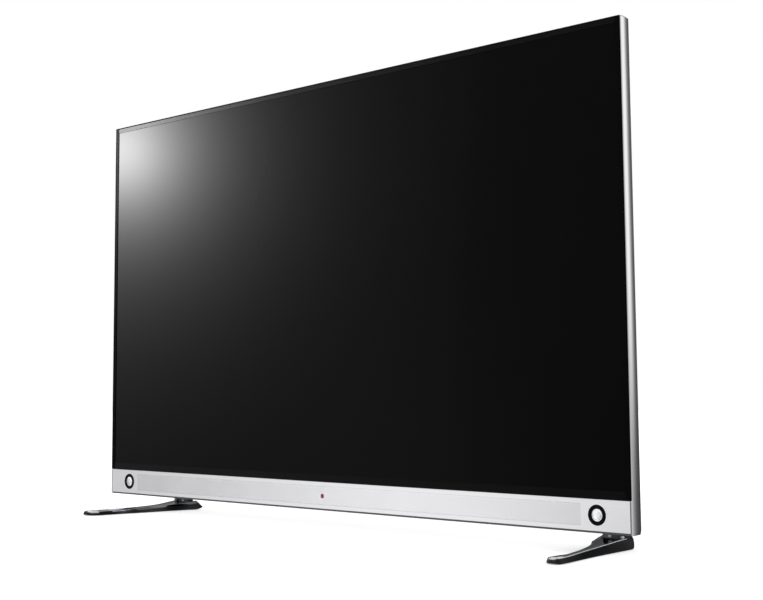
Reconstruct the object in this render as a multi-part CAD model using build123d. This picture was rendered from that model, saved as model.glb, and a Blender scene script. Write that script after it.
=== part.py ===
from build123d import *
import math
import os

# Large flat television on two blade feet, with a loudspeaker bar that lowers under the screen.
# Millimetres. The origin is on the floor under the middle of the footprint, +Z up, +X to the
# viewer's right, and the screen looks along -Y.
# Helper coordinates: x from the middle, depth behind the front plane, height above the bar's lower edge.

os.makedirs("parts", exist_ok=True)

# Screen, and the borders and bar round it
screen_width = 1209.6
screen_height = 680.4
side_border = 9.2
top_border = 10.4
lower_border = 12.6
bar_height = 45.6

# Overall sizes
tv_width = screen_width + 2 * side_border
tv_height = bar_height + lower_border + screen_height + top_border
floor_gap = 37.0
rim_depth = 25.0
cover_depth = 38.0
foot_front_reach = 107.0
foot_rear_reach = 118.0
front_y = (foot_front_reach - foot_rear_reach) / 2

# Fits between fixed pieces, and between moving pieces
fit_gap = 0.2
slide_gap = 0.4
running_fit = 0.05

# Outer band, with the inset of its convex outer face at each depth
band_wall = 2.3
band_corner_r = 5.0
band_drop = 3.0
band_rear_r = 7.0
band_lip = 0.9
band_groove = 3.2
band_stations = ((0.0, 0.35), (0.5, 0.12), (2.5, 0.05), (7.0, 0.0), (12.0, 0.0), (17.0, 0.25),
                 (21.0, 0.75), (rim_depth, 1.5))

# Display stack, front to back
bezel_setback = 0.5
bezel_thick = 1.0
panel_thick = 1.8
sheet_thick = 0.8
diffuser_thick = 2.0
light_gap = 3.4
lens_height = 2.5
lens_base_r = 5.6
lens_tip_r = 3.8
strip_thick = 1.2
strip_width = 12.0
strip_end_inset = 44.8
strip_length = screen_width - 2 * strip_end_inset
strip_rows = 8
lenses_per_strip = 12
reflector_thick = 0.4
chassis_sheet = 1.0
ring_wall = 3.0

# Depths of the display stack
bezel_back = bezel_setback + bezel_thick
panel_back = bezel_back + panel_thick
sheet_back = panel_back + sheet_thick
diffuser_back = sheet_back + diffuser_thick
strip_front = diffuser_back + light_gap + lens_height
strip_back = strip_front + strip_thick
chassis_front = strip_back + reflector_thick
chassis_back = chassis_front + chassis_sheet

# Heights of the display
display_bottom = bar_height + slide_gap
display_top = tv_height - band_wall - fit_gap
screen_bottom = bar_height + lower_border
screen_top = screen_bottom + screen_height
display_half = tv_width / 2 - band_wall - fit_gap
ring_half = display_half - ring_wall
ring_bottom = display_bottom + ring_wall
ring_top = display_top - ring_wall
panel_half = ring_half - fit_gap
panel_bottom = ring_bottom + fit_gap
panel_top = ring_top - fit_gap

# Rear cover
cover_wall = 2.0
cover_rim_front = rim_depth - cover_wall
bulge_edge_inset = 26.0
bulge_top_drop = 109.0
bulge_top = tv_height - bulge_top_drop
bulge_bottom = 1.0
bulge_slope = 22.0
bulge_lower_slope = 10.0
cover_lip_front = 18.6
vent_width = 3.0
vent_length = 20.0
vent_pitch = 8.0
vent_first = 32.0
vents_per_row = 22
vent_drop = 44.0
vent_height = bulge_top - vent_drop
woofer_vents = 9

# Wall mount and its inserts
vesa_spacing = 400.0
vesa_top_drop = 60.0
vesa_height = bulge_top - vesa_top_drop - vesa_spacing / 2
insert_r = 6.0
insert_bore_r = 3.0

# Rear cover screws and their posts on the chassis
post_r = 4.0
post_bore_r = 1.8
cover_screw_r = 1.6
cover_screw_head_r = 3.2
cover_screw_head = 1.6
cover_hole_r = 1.9
cover_screw_inset = 14.0
cover_screw_x = tv_width / 2 - cover_screw_inset
cover_screw_low = 110.0
cover_screw_drop = 59.0
cover_screw_high = tv_height - cover_screw_drop
cover_screw_rows = 6

# Bar sizes
bar_end_gap = 3.8
bar_half = tv_width / 2 - bar_end_gap
bar_setback = 0.4
plate_thick = 1.2
plate_back = bar_setback + plate_thick
grille_end = 87.5
grille_low = 6.6
grille_high = 38.4
grille_setback = 0.4
grille_gap = 0.15
ring_end = 59.5
ring_height = 22.7
ring_outer_r = 15.0
ring_inner_r = 9.4
ring_proud = 0.6
ring_hole_gap = 0.1
housing_wall = 2.0
housing_back = 16.0
housing_end_gap = 2.0
baffle_front = 4.0
baffle_thick = 2.0
baffle_back = baffle_front + baffle_thick
trim_front = 0.8
trim_back = 18.0
trim_gap = 0.1
lamp_x = -6.0
lamp_height = 21.4
lamp_r = 4.0
board_thick = 1.6
sensor_board_half = 30.0
sensor_board_half_height = 9.0
sensor_board_thick = 1.2

# Loudspeakers of the bar
driver_end_inset = 214.0
driver_inner_x = 150.0
driver_outer_x = tv_width / 2 - driver_end_inset
driver_length = 120.0
driver_height = 32.0
driver_flange = 1.0
driver_rim = 6.0
magnet_r = 13.0
magnet_depth = 3.8
cone_depth = 3.0
tweeter_r = 9.0
tweeter_flange_r = 13.0
tweeter_flange = 1.5
tweeter_depth = 12.0
cap_front = 0.0
cap_thick = 1.2

# Bar travel, guides and lift
bar_travel = 22.0
fascia_front = 15.2
fascia_overlap = 7.4
fascia_end_inset = 14.0
fascia_top = bar_height + bar_travel + fascia_overlap
fascia_half = tv_width / 2 - fascia_end_inset
carriage_inset = 184.0
carriage_x = tv_width / 2 - carriage_inset
carriage_thick = 2.0
carriage_low = 5.0
guide_rod_r = 3.0
guide_depth = 23.5
guide_block = 8.0
guide_clear = 2.0
guide_stop_gap = 1.0
lug_half = 7.0
lug_length = 10.0
lug_wall = 2.0
lug_spacing = 43.0
guide_low = fascia_top + guide_clear
lug_low = guide_low + guide_block + guide_stop_gap + bar_travel
lug_heights = (lug_low, lug_low + lug_spacing)
carriage_top = lug_low + lug_spacing + lug_length + guide_stop_gap
guide_top = carriage_top + guide_stop_gap + guide_clear + guide_block
bridge_half = 19.0
bridge_leg = 6.0
bridge_front = 19.6
bridge_clear = 1.0
bridge_back = 28.0
rack_offset = 21.0
rack_x = carriage_x - rack_offset
rack_width = 8.0
rack_margin = 12.0
rack_base = 0.5
gear_module = 1.0
pinion_teeth = 14
shaft_gear_teeth = 16
gear_width = 8.0
gear_play = 0.1
gear_addendum = 0.9
gear_dedendum = 1.15
rack_addendum = 0.8
pressure_angle = math.radians(20.0)
flank_steps = 5
shaft_r = 3.0
shaft_above_fascia = 25.0
shaft_height = fascia_top + shaft_above_fascia
rack_low = shaft_height - rack_margin
rack_top = shaft_height + bar_travel + rack_margin
shaft_end_beyond = 2.0
bearing_offset = 34.0
bearing_x = rack_x - bearing_offset
bearing_width = 10.0
bearing_half = 6.0
shaft_gear_x = 56.0
motor_bracket_x = 66.0
motor_bracket_thick = 2.0
motor_r = 8.5
motor_length = 46.0
motor_nose_r = 4.0
motor_axle_r = 1.5
motor_axle_length = 5.0
pinion_r = gear_module * pinion_teeth / 2
shaft_gear_r = gear_module * shaft_gear_teeth / 2
carriage_back = housing_back + carriage_thick
rack_pitch_depth = carriage_back + rack_base + gear_dedendum
rack_tip_depth = rack_pitch_depth + rack_addendum
shaft_depth = rack_pitch_depth + pinion_r
motor_height = shaft_height + shaft_gear_r + pinion_r

# Feet, all x values counted inwards from the end of the television
pad_thick = 0.8
neck_inner = 128.0
neck_outer = 82.0
neck_root_inner = 119.0
neck_root_outer = 72.0
neck_thick = 14.0
neck_bend_r = 45.0
neck_rise = 0.0
neck_setback = 1.0
neck_foot = 10.0
flange_thick = 6.0
flange_outer = 77.0
flange_inner = 133.0
flange_low = 16.0
flange_high = 84.0
flange_corner_r = 6.0
foot_screw_xs = (87.0, 123.0)
foot_screw_heights = (26.0, 74.0)
foot_screw_r = 2.5
foot_screw_gap = 0.2
foot_screw_head_r = 4.5
foot_screw_head = 3.0
toe_pad_length = 34.0
toe_pad_width = 16.0
toe_pad_inset = 71.0
toe_pad_depth = -76.0
toe_pad_turn = 96.0
heel_pad_length = 44.0
heel_pad_width = 20.0
heel_pad_inset = 96.0
heel_pad_depth = 72.0
heel_pad_turn = 108.0
bracket_sheet = 3.0
bracket_margin = 8.0
bracket_low = 20.0
bracket_high = 130.0
bracket_leg_low = 86.0
bracket_leg = 2.0

# Sections of the foot's blade from toe to heel, each with its depth, then the insets of its outer low edge,
# outer ridge, inner ridge and inner low edge, then the heights of its underside and of the two ridges
foot_stations = (
    (-foot_front_reach, 58.0, 59.5, 65.5, 67.0, 2.4, 5.6, 5.0),
    (-105.0, 55.6, 57.6, 69.6, 71.6, 1.4, 7.6, 6.2),
    (-101.0, 54.4, 56.5, 74.0, 76.4, pad_thick, 8.9, 7.0),
    (-95.0, 54.0, 56.2, 79.0, 81.8, pad_thick, 9.2, 7.3),
    (-86.0, 54.1, 56.8, 83.4, 86.8, pad_thick, 9.1, 7.5),
    (-60.0, 56.4, 62.0, 84.6, 92.5, pad_thick, 9.0, 7.3),
    (-40.0, 58.3, 66.2, 84.9, 97.5, pad_thick, 9.1, 6.9),
    (0.0, 61.7, 73.7, 89.7, 110.0, pad_thick, 9.6, 7.6),
    (45.0, 63.9, 78.5, 100.3, 120.0, pad_thick, 11.2, 10.3),
    (68.0, 64.4, 78.3, 108.6, 127.0, pad_thick, 13.0, 11.8),
    (90.0, 65.0, 76.5, 115.5, 134.0, pad_thick, 15.2, 13.4),
    (108.0, 66.0, 74.0, 123.0, 143.0, 1.2, 16.6, 15.4),
    (foot_rear_reach, 71.0, 72.5, 128.0, 147.0, 5.0, 17.0, 17.0),
)

# Sockets
socket_wall = 1.6
socket_cavity_depth = 12.0
socket_inset = 184.0
socket_x = tv_width / 2 - socket_inset
hdmi_width = 14.2
hdmi_height = 4.8
hdmi_heights = (240.0, 262.0, 284.0)
usb_width = 12.6
usb_height = 5.4
usb_heights = (310.0, 328.0)
lan_width = 12.0
lan_height = 9.0
lan_centre = 352.0
inlet_x = -socket_x
inlet_height = 250.0
inlet_width = 16.0
inlet_tall = 8.6
inlet_wall = 4.0
inlet_pin_r = 1.2
inlet_pin_length = 7.5
inlet_pin_spacing = 8.0
antenna_height = 378.0
antenna_r = 4.7
antenna_bore_r = 3.0
antenna_proud = 8.0

# Circuit boards
board_front = 19.6
standoff_r = 3.0
standoff_inset = 6.0
board_screw_head_r = 3.0
board_screw_head = 1.4
board_screw_r = 1.2
board_hole_r = 1.5
board_low = 215.0
board_margin = 22.0
board_high = antenna_height + board_margin
main_board_reach = (200.0, 50.0)
power_board_reach = (70.0, 190.0)
driver_board_x = (-150.0, -20.0)
driver_board_low = 260.0
timing_board_half = 120.0
timing_board_low = 500.0
timing_board_high = 545.0
heat_sink_half = 24.0
heat_sink_rise = 6.0
chip_half = 9.0
chip_rise = 1.6
plug_half_width = 20.0
plug_half_height = 5.0
plug_rise = 7.0
transformer_half_width = 22.0
transformer_half_height = 20.0
transformer_rise = 13.0
capacitor_half_width = 16.0
capacitor_half_height = 14.0
filter_half_width = 30.0
filter_half_height = 8.0
capacitor_rise = 12.0
coil_half = 10.0
coil_rise = 11.0
inductor_half = 14.0
inductor_rise = 9.0
source_board_gap = 20.0
source_board_inset = 54.0
source_board_drop = 34.0
source_board_width = 14.0
wifi_inset = 99.0
wifi_height = 320.0
wifi_half_width = 15.0
wifi_half_height = 20.0
wifi_rise = 4.0

# Power key on the back
key_inset = 74.0
key_x = tv_width / 2 - key_inset
key_height = 160.0
key_r = 6.0
key_gap = 0.25
key_proud = 1.4
key_flange_r = 7.3
key_flange = 1.5
key_boss_r = 3.0
key_boss = 3.2
key_travel = 0.9
key_play = 0.1
holder_half = 11.0
holder_front = 27.6

# Woofers in the back
woofer_inset = 284.0
woofer_x = tv_width / 2 - woofer_inset
woofer_height = 500.0
woofer_half_width = 75.0
woofer_half_height = 60.0
woofer_back = 35.0
woofer_wall = 2.5
woofer_r = 38.0
woofer_flange = 1.0
woofer_depth = 12.0


def place(x, depth, height):
    """Point given as x, depth behind the front plane and height above the bar's lower edge."""
    return Vector(x, front_y + depth, floor_gap + height)


def block(x0, x1, d0, d1, h0, h1):
    """Box between two corners in x, depth and height."""
    low, high = place(x0, d0, h0), place(x1, d1, h1)
    size = high - low
    return Pos(*(low + high) / 2) * Box(size.X, size.Y, size.Z)


def rod_x(radius, x0, x1, depth, height):
    """Cylinder along X."""
    return Pos(*place((x0 + x1) / 2, depth, height)) * Rot(0, 90, 0) * Cylinder(radius, x1 - x0)


def rod_y(radius, x, height, d0, d1):
    """Cylinder from front to back."""
    return Pos(*place(x, (d0 + d1) / 2, height)) * Rot(90, 0, 0) * Cylinder(radius, d1 - d0)


def rod_z(radius, x, depth, h0, h1):
    """Upright cylinder."""
    return Pos(*place(x, depth, (h0 + h1) / 2)) * Cylinder(radius, h1 - h0)


def panel(sketch, x, height, d0, d1):
    """Front-view sketch centred at x and height, extruded from depth d0 to d1."""
    facing = Plane(origin=place(x, d0, height), x_dir=(1, 0, 0), z_dir=(0, 1, 0))
    return extrude(facing * sketch, d1 - d0)


def both_sides(shape):
    """The shape and its mirror image as one group."""
    return [shape, shape.mirror(Plane.YZ)]


def from_end(inset):
    """x of a point counted inwards from the right end."""
    return tv_width / 2 - inset


def save(name, *shapes):
    """Write one node from one or more separate solids."""
    solids = [solid for shape in shapes for solid in shape.solids()]
    whole = solids[0] if len(solids) == 1 else Compound(children=solids)
    export_step(whole, f"parts/{name}.step")


def arch(inset, d0, d1):
    """Slab inside the band's face by an inset, with round upper corners, that reaches past the open foot."""
    low, high = -band_drop - 2 * band_corner_r, tv_height - inset
    outline = RectangleRounded(tv_width - 2 * inset, high - low, band_corner_r - inset)
    return panel(outline, 0, (low + high) / 2, d0, d1)


def outer_frame():
    """Silver band down both sides and over the top, open under the bar, grooved round the screen."""
    sections = [arch(inset, depth, rim_depth + 1).faces().sort_by(Axis.Y)[0]
                for depth, inset in band_stations]
    band = loft(sections, ruled=True) - arch(band_wall, 0, rim_depth)
    half = tv_width / 2
    groove = arch(band_lip, 0, band_groove)
    groove -= block(-half, half, 0, band_groove, -3 * band_corner_r, display_bottom)
    below = block(-half, half, 0, rim_depth, -3 * band_corner_r, -band_drop)
    heel = block(-half, half, rim_depth - band_rear_r, rim_depth, -band_drop, band_rear_r - band_drop)
    heel -= rod_x(band_rear_r, -half, half, rim_depth - band_rear_r, band_rear_r - band_drop)
    return band - groove - below - heel


def inside_band(shape):
    """The shape with its two upper corners rounded like the inside of the band."""
    upright = shape.edges().filter_by(Axis.Y).group_by(Axis.Z)[-1]
    outer = [edge for edge in upright if abs(edge.center().X) > display_half - fit_gap]
    return fillet(outer, band_corner_r - band_wall)


def ring_panel(half, bottom, top, hole_half, hole_bottom, hole_top, d0, d1):
    """Rectangular frame in the front view."""
    outside = inside_band(block(-half, half, d0, d1, bottom, top))
    return outside - block(-hole_half, hole_half, d0, d1, hole_bottom, hole_top)


def led_strip(row):
    """One printed strip with its row of lenses."""
    pitch = screen_height / strip_rows
    height = screen_bottom + pitch * (row + 0.5)
    strip = block(-strip_length / 2, strip_length / 2, strip_front, strip_back,
                  height - strip_width / 2, height + strip_width / 2)
    step = strip_length / lenses_per_strip
    for index in range(lenses_per_strip):
        x = step * (index + 0.5) - strip_length / 2
        lens = Pos(*place(x, strip_front - lens_height / 2, height)) * Rot(90, 0, 0)
        strip += lens * Cone(lens_base_r, lens_tip_r, lens_height)
    return strip


def cover_post_places():
    """Places of the rear cover's screws round the rim."""
    rise = (cover_screw_high - cover_screw_low) / (cover_screw_rows - 1)
    heights = [cover_screw_low + rise * row for row in range(cover_screw_rows)]
    sides = [(side * cover_screw_x, height) for height in heights for side in (-1, 1)]
    top = [(x, tv_height - cover_screw_inset) for x in (-carriage_x, 0, carriage_x)]
    return sides + top


def backlight_chassis():
    """Pressed steel pan behind the light, with the posts for the rear cover."""
    half = ring_half - fit_gap
    bottom, top = ring_bottom + fit_gap, ring_top - fit_gap
    pan = block(-half, half, diffuser_back, chassis_back, bottom, top)
    pan -= block(-half + chassis_sheet, half - chassis_sheet, diffuser_back, chassis_front,
                 bottom + chassis_sheet, top - chassis_sheet)
    for x, height in cover_post_places():
        pan += rod_y(post_r, x, height, chassis_back, cover_rim_front)
        pan -= rod_y(post_bore_r, x, height, chassis_back, cover_rim_front)
    return pan


def bulge(half_front, half_back, bottom_front, bottom_back, top_front, top_back, d0, d1):
    """Raised middle of the rear cover, from a large rectangle to a smaller one behind it."""
    def outline(half, bottom, top, depth):
        facing = Plane(origin=place(0, depth, (bottom + top) / 2), x_dir=(1, 0, 0), z_dir=(0, 1, 0))
        return facing * RectangleRounded(2 * half, top - bottom, bulge_slope / 2)
    return loft([outline(half_front, bottom_front, top_front, d0),
                 outline(half_back, bottom_back, top_back, d1)])


def rear_cover():
    """Moulded back with a raised middle, a lip under the bar, vents, windows and screw holes."""
    edge = tv_width / 2 - bulge_edge_inset
    flat = edge - bulge_slope
    low, high = bulge_bottom + bulge_lower_slope, bulge_top - bulge_slope
    plate = inside_band(block(-display_half, display_half, cover_rim_front, rim_depth,
                              -band_drop, display_top))
    lip = block(-display_half, display_half, cover_lip_front, cover_rim_front, -band_drop,
                -band_drop + cover_wall)
    outside = bulge(edge, flat, bulge_bottom, low, bulge_top, high, rim_depth, cover_depth)
    hollow = bulge(edge - cover_wall, flat - cover_wall, bulge_bottom + cover_wall, low + cover_wall,
                   bulge_top - cover_wall, high - cover_wall, cover_rim_front, cover_depth - cover_wall)
    cover = plate + lip + outside - hollow
    return cover - cover_openings()


def cover_openings():
    """Everything that is cut through the rear cover."""
    back = cover_depth
    inside = cover_depth - 2 * cover_wall
    cuts = [rod_y(insert_r + fit_gap, x, height, inside, back) for x, height in vesa_places()]
    cuts += [rod_y(cover_hole_r, x, height, cover_lip_front, rim_depth)
             for x, height in cover_post_places()]
    cuts += [rod_y(foot_screw_r + foot_screw_gap, side * from_end(inset), height, inside, back)
             for side in (-1, 1) for inset in foot_screw_xs for height in foot_screw_heights]
    cuts += [rod_y(key_r + key_gap, key_x, key_height, inside, back)]
    cuts += [rod_y(antenna_r + fit_gap, socket_x, antenna_height, inside, back)]
    for window in socket_blocks(fit_gap):
        cuts.append(window)
    slot = SlotOverall(vent_length, vent_width, rotation=90)
    for side in (-1, 1):
        for index in range(vents_per_row):
            x = side * (vent_first + vent_pitch * index)
            cuts.append(panel(slot, x, vent_height, inside, back))
        for index in range(woofer_vents):
            x = side * woofer_x + vent_pitch * (index - (woofer_vents - 1) / 2)
            cuts.append(panel(slot, x, woofer_height, inside, back))
    return Compound(children=[solid for cut in cuts for solid in cut.solids()])


def vesa_places():
    """Centres of the four wall-mount inserts."""
    half = vesa_spacing / 2
    return [(x, height) for x in (-half, half) for height in (vesa_height - half, vesa_height + half)]


def socket_shell(width, tall, x, height, grow=0.0, wall=socket_wall):
    """Outside of a rear-facing socket, from the board to the cover's back."""
    half, up = width / 2 + wall + grow, tall / 2 + wall + grow
    return block(x - half, x + half, board_front + board_thick, cover_depth, height - up, height + up)


def socket_blocks(grow=0.0):
    """Outsides of all rectangular sockets, for the windows in the cover."""
    shells = [socket_shell(hdmi_width, hdmi_height, socket_x, height, grow) for height in hdmi_heights]
    shells += [socket_shell(usb_width, usb_height, socket_x, height, grow) for height in usb_heights]
    shells.append(socket_shell(lan_width, lan_height, socket_x, lan_centre, grow))
    shells.append(socket_shell(inlet_width, inlet_tall, inlet_x, inlet_height, grow, inlet_wall))
    return shells


def socket(width, tall, x, height):
    """Rear-facing socket with its cavity open to the back."""
    cavity = block(x - width / 2, x + width / 2, cover_depth - socket_cavity_depth, cover_depth,
                   height - tall / 2, height + tall / 2)
    return socket_shell(width, tall, x, height) - cavity


def ac_inlet():
    """Mains inlet with a rounded cavity and two pins."""
    body = socket_shell(inlet_width, inlet_tall, inlet_x, inlet_height, 0.0, inlet_wall)
    body -= panel(SlotOverall(inlet_width, inlet_tall), inlet_x, inlet_height,
                  cover_depth - socket_cavity_depth, cover_depth)
    bottom = cover_depth - socket_cavity_depth
    for side in (-1, 1):
        x = inlet_x + side * inlet_pin_spacing / 2
        body += rod_y(inlet_pin_r, x, inlet_height, bottom, bottom + inlet_pin_length)
    return body


def antenna_socket():
    """Threaded-size barrel of the aerial socket."""
    barrel = rod_y(antenna_r, socket_x, antenna_height, board_front + board_thick,
                   cover_depth + antenna_proud)
    return barrel - rod_y(antenna_bore_r, socket_x, antenna_height, cover_depth - cover_wall,
                          cover_depth + antenna_proud)


def circuit_board(limits, soldered):
    """Board between its limits in x and height, with its soldered parts.

    Each part has its place as shares of the board's width and height, then its half sizes and rise.
    """
    x0, x1, h0, h1 = limits
    top = board_front + board_thick
    board = block(x0, x1, board_front, top, h0, h1)
    for x, height in standoff_places(*limits):
        board -= rod_y(board_hole_r, x, height, board_front, top)
    for across, up, half_width, half_height, rise in soldered:
        x, height = x0 + across * (x1 - x0), h0 + up * (h1 - h0)
        board += block(x - half_width, x + half_width, top, top + rise,
                       height - half_height, height + half_height)
    return board


def standoff_places(x0, x1, h0, h1):
    """Corner fixings of a board."""
    return [(x, height) for x in (x0 + standoff_inset, x1 - standoff_inset)
            for height in (h0 + standoff_inset, h1 - standoff_inset)]


def gear_outline(teeth, phase):
    """Closed outline of a spur gear with involute flanks; the first tooth points at the phase angle."""
    pitch_r = gear_module * teeth / 2
    base_r = pitch_r * math.cos(pressure_angle)
    root_r, tip_r = pitch_r - gear_dedendum, pitch_r + gear_addendum
    half = (math.pi * gear_module / 2 - gear_play) / (2 * pitch_r)
    at_pitch = math.tan(pressure_angle) - pressure_angle

    def half_angle(radius):
        turn = math.acos(min(1.0, base_r / radius))
        return half + at_pitch - (math.tan(turn) - turn)

    start = max(base_r, root_r)
    radii = [start + (tip_r - start) * step / flank_steps for step in range(flank_steps + 1)]
    flank = [(root_r, half_angle(start))] + [(radius, half_angle(radius)) for radius in radii]
    points = []
    for tooth in range(teeth):
        middle = phase + 2 * math.pi * tooth / teeth
        for radius, angle in flank:
            points.append((radius * math.cos(middle - angle), radius * math.sin(middle - angle)))
        for radius, angle in reversed(flank):
            points.append((radius * math.cos(middle + angle), radius * math.sin(middle + angle)))
    return make_face(Polyline(*points, close=True))


def side_plane(x, depth, height):
    """Plane across X whose own x runs up and whose own y runs to the front."""
    return Plane(origin=place(x, depth, height), x_dir=(0, 0, 1), z_dir=(1, 0, 0))


def spur_gear(teeth, phase, x, height, bore_r):
    """Gear on the X axis, centred on x."""
    outline = side_plane(x - gear_width / 2, shaft_depth, height) * gear_outline(teeth, phase)
    gear = extrude(outline, gear_width)
    if bore_r:
        gear -= rod_x(bore_r, x - gear_width / 2, x + gear_width / 2, shaft_depth, height)
    return gear


def rack(x):
    """Toothed bar on a carriage, with a gap between teeth level with the pinion at rest."""
    pitch = math.pi * gear_module
    half = (pitch / 2 - gear_play) / 2
    slope = math.tan(pressure_angle)
    tip_half = half - rack_addendum * slope
    root_half = half + gear_dedendum * slope
    count = int((rack_top - rack_low) / pitch) - 1
    first = math.ceil((rack_low - shaft_height) / pitch)
    top, bottom = rack_top - shaft_height, rack_low - shaft_height
    tip = -(rack_base + gear_dedendum + rack_addendum)
    points = [(top, -rack_base), (top, 0), (bottom, 0), (bottom, -rack_base)]
    for index in range(count):
        centre = (first + index + 0.5) * pitch
        points += [(centre - root_half, -rack_base), (centre - tip_half, tip),
                   (centre + tip_half, tip), (centre + root_half, -rack_base)]
    plane = side_plane(x - rack_width / 2, carriage_back, shaft_height)
    return extrude(plane * make_face(Polyline(*points, close=True)), rack_width)


def carriage():
    """Right-hand carriage: back plate, two guide lugs and the moulded rack."""
    inner, outer = rack_x - rack_width / 2, carriage_x + lug_half + rack_width / 2
    body = block(inner, outer, housing_back, carriage_back, carriage_low, carriage_top)
    body += rack(rack_x)
    for height in lug_heights:
        body += block(carriage_x - lug_half, carriage_x + lug_half, carriage_back,
                      guide_depth + guide_rod_r + lug_wall, height, height + lug_length)
    bore_r = guide_rod_r + running_fit
    return body - rod_z(bore_r, carriage_x, guide_depth, carriage_low, carriage_top)


def rod_bridge(low):
    """Right-hand bridge that holds one end of a guide rod over the carriage."""
    x0, x1 = carriage_x - bridge_half - 2 * bridge_leg, carriage_x + bridge_half
    bridge = block(x0 - bridge_leg, x1 + bridge_leg, chassis_back, bridge_back, low, low + guide_block)
    bridge -= block(x0, x1, chassis_back, bridge_front, low, low + guide_block)
    rack_inner, rack_outer = rack_x - rack_width / 2, rack_x + rack_width / 2
    bridge -= block(rack_inner - bridge_clear, rack_outer + bridge_clear, chassis_back,
                    rack_tip_depth + bridge_clear, low, low + guide_block)
    return bridge - rod_z(guide_rod_r, carriage_x, guide_depth, low, low + guide_block)


def bar_front_plate():
    """Aluminium face of the bar with its grille window and two round holes."""
    plate = block(-bar_half, bar_half, bar_setback, plate_back, 0, bar_height - slide_gap)
    window = tv_width / 2 - grille_end
    plate -= block(-window, window, bar_setback, plate_back, grille_low, grille_high)
    for side in (-1, 1):
        plate -= rod_y(ring_outer_r + ring_hole_gap, side * from_end(ring_end), ring_height,
                       bar_setback, plate_back)
    return plate


def speaker_grille():
    """Perforated sheet in the window of the face, with the lamp's hole."""
    half = tv_width / 2 - grille_end - grille_gap
    sheet = block(-half, half, bar_setback + grille_setback, plate_back,
                  grille_low + grille_gap, grille_high - grille_gap)
    return sheet - rod_y(lamp_r + ring_hole_gap, lamp_x, lamp_height, bar_setback, plate_back)


def bar_housing():
    """Long moulded tray behind the face."""
    half = bar_half - housing_end_gap
    top = bar_height - slide_gap
    tray = block(-half, half, plate_back, housing_back, 0, top)
    return tray - block(-half + housing_wall, half - housing_wall, plate_back,
                        housing_back - housing_wall, housing_wall, top - housing_wall)


def driver_outline(grow):
    """Racetrack outline of a bar loudspeaker."""
    return SlotOverall(driver_length + 2 * grow, driver_height + 2 * grow)


def driver_places():
    """x of the bar's four racetrack loudspeakers."""
    return (-driver_outer_x, -driver_inner_x, driver_inner_x, driver_outer_x)


def driver_height_centre():
    """Middle height of the bar's cavity."""
    return (bar_height - slide_gap) / 2


def speaker_baffle():
    """Board across the tray that carries the loudspeakers."""
    half = bar_half - housing_end_gap - housing_wall - fit_gap
    low, high = housing_wall + fit_gap, bar_height - slide_gap - housing_wall - fit_gap
    baffle = block(-half, half, baffle_front, baffle_back, low, high)
    for x in driver_places():
        baffle -= panel(driver_outline(-driver_rim / 2), x, driver_height_centre(),
                        baffle_front, baffle_back)
    for side in (-1, 1):
        baffle -= rod_y(tweeter_r + fit_gap, side * from_end(ring_end), ring_height,
                        baffle_front, baffle_back)
    return baffle


def bar_driver(x):
    """Racetrack loudspeaker: flange, basket, cone recess and magnet."""
    height = driver_height_centre()
    magnet_back = housing_back - housing_wall - fit_gap
    basket_back = magnet_back - magnet_depth
    body = panel(driver_outline(0), x, height, baffle_front - driver_flange, baffle_front)
    body += panel(driver_outline(-driver_rim / 2 - fit_gap), x, height, baffle_front, basket_back)
    body -= panel(driver_outline(-driver_rim), x, height, baffle_front - driver_flange,
                  baffle_front - driver_flange + cone_depth)
    return body + rod_y(magnet_r, x, height, basket_back, magnet_back)


def tweeter():
    """Right-hand small round loudspeaker behind the ring."""
    x = from_end(ring_end)
    body = rod_y(tweeter_r, x, ring_height, cap_front + cap_thick, tweeter_depth)
    return body + rod_y(tweeter_flange_r, x, ring_height, baffle_back, baffle_back + tweeter_flange)


def tweeter_ring():
    """Right-hand black ring round the tweeter."""
    x = from_end(ring_end)
    ring = rod_y(ring_outer_r, x, ring_height, -ring_proud, baffle_front)
    return ring - rod_y(ring_inner_r, x, ring_height, -ring_proud, baffle_front)


def woofer_box():
    """Right-hand closed box of the rear woofer, open where the woofer sits."""
    x0, x1 = woofer_x - woofer_half_width, woofer_x + woofer_half_width
    h0, h1 = woofer_height - woofer_half_height, woofer_height + woofer_half_height
    box = block(x0, x1, chassis_back, woofer_back - woofer_flange, h0, h1)
    box -= block(x0 + woofer_wall, x1 - woofer_wall, chassis_back + woofer_wall,
                 woofer_back - woofer_flange - woofer_wall, h0 + woofer_wall, h1 - woofer_wall)
    return box - rod_y(woofer_r - driver_rim / 2 + fit_gap, woofer_x, woofer_height,
                       woofer_back - woofer_flange - woofer_wall, woofer_back - woofer_flange)


def woofer():
    """Right-hand rear woofer with its flange, basket and cone recess."""
    face = woofer_back
    body = rod_y(woofer_r, woofer_x, woofer_height, face - woofer_flange, face)
    body += rod_y(woofer_r - driver_rim / 2, woofer_x, woofer_height, face - woofer_depth, face)
    return body - rod_y(woofer_r - driver_rim, woofer_x, woofer_height, face - cone_depth, face)


def foot_section(depth, low_out, ridge_out, ridge_in, low_in, underside, rise_out, rise_in):
    """Cross section of the right foot's blade at one depth."""
    plane = Plane(origin=(0, front_y + depth, 0), x_dir=(1, 0, 0), z_dir=(0, -1, 0))
    points = [(from_end(low_out), underside), (from_end(ridge_out), rise_out),
              (from_end(ridge_in), rise_in), (from_end(low_in), underside)]
    return plane * make_face(Polyline(*points, close=True))


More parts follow.
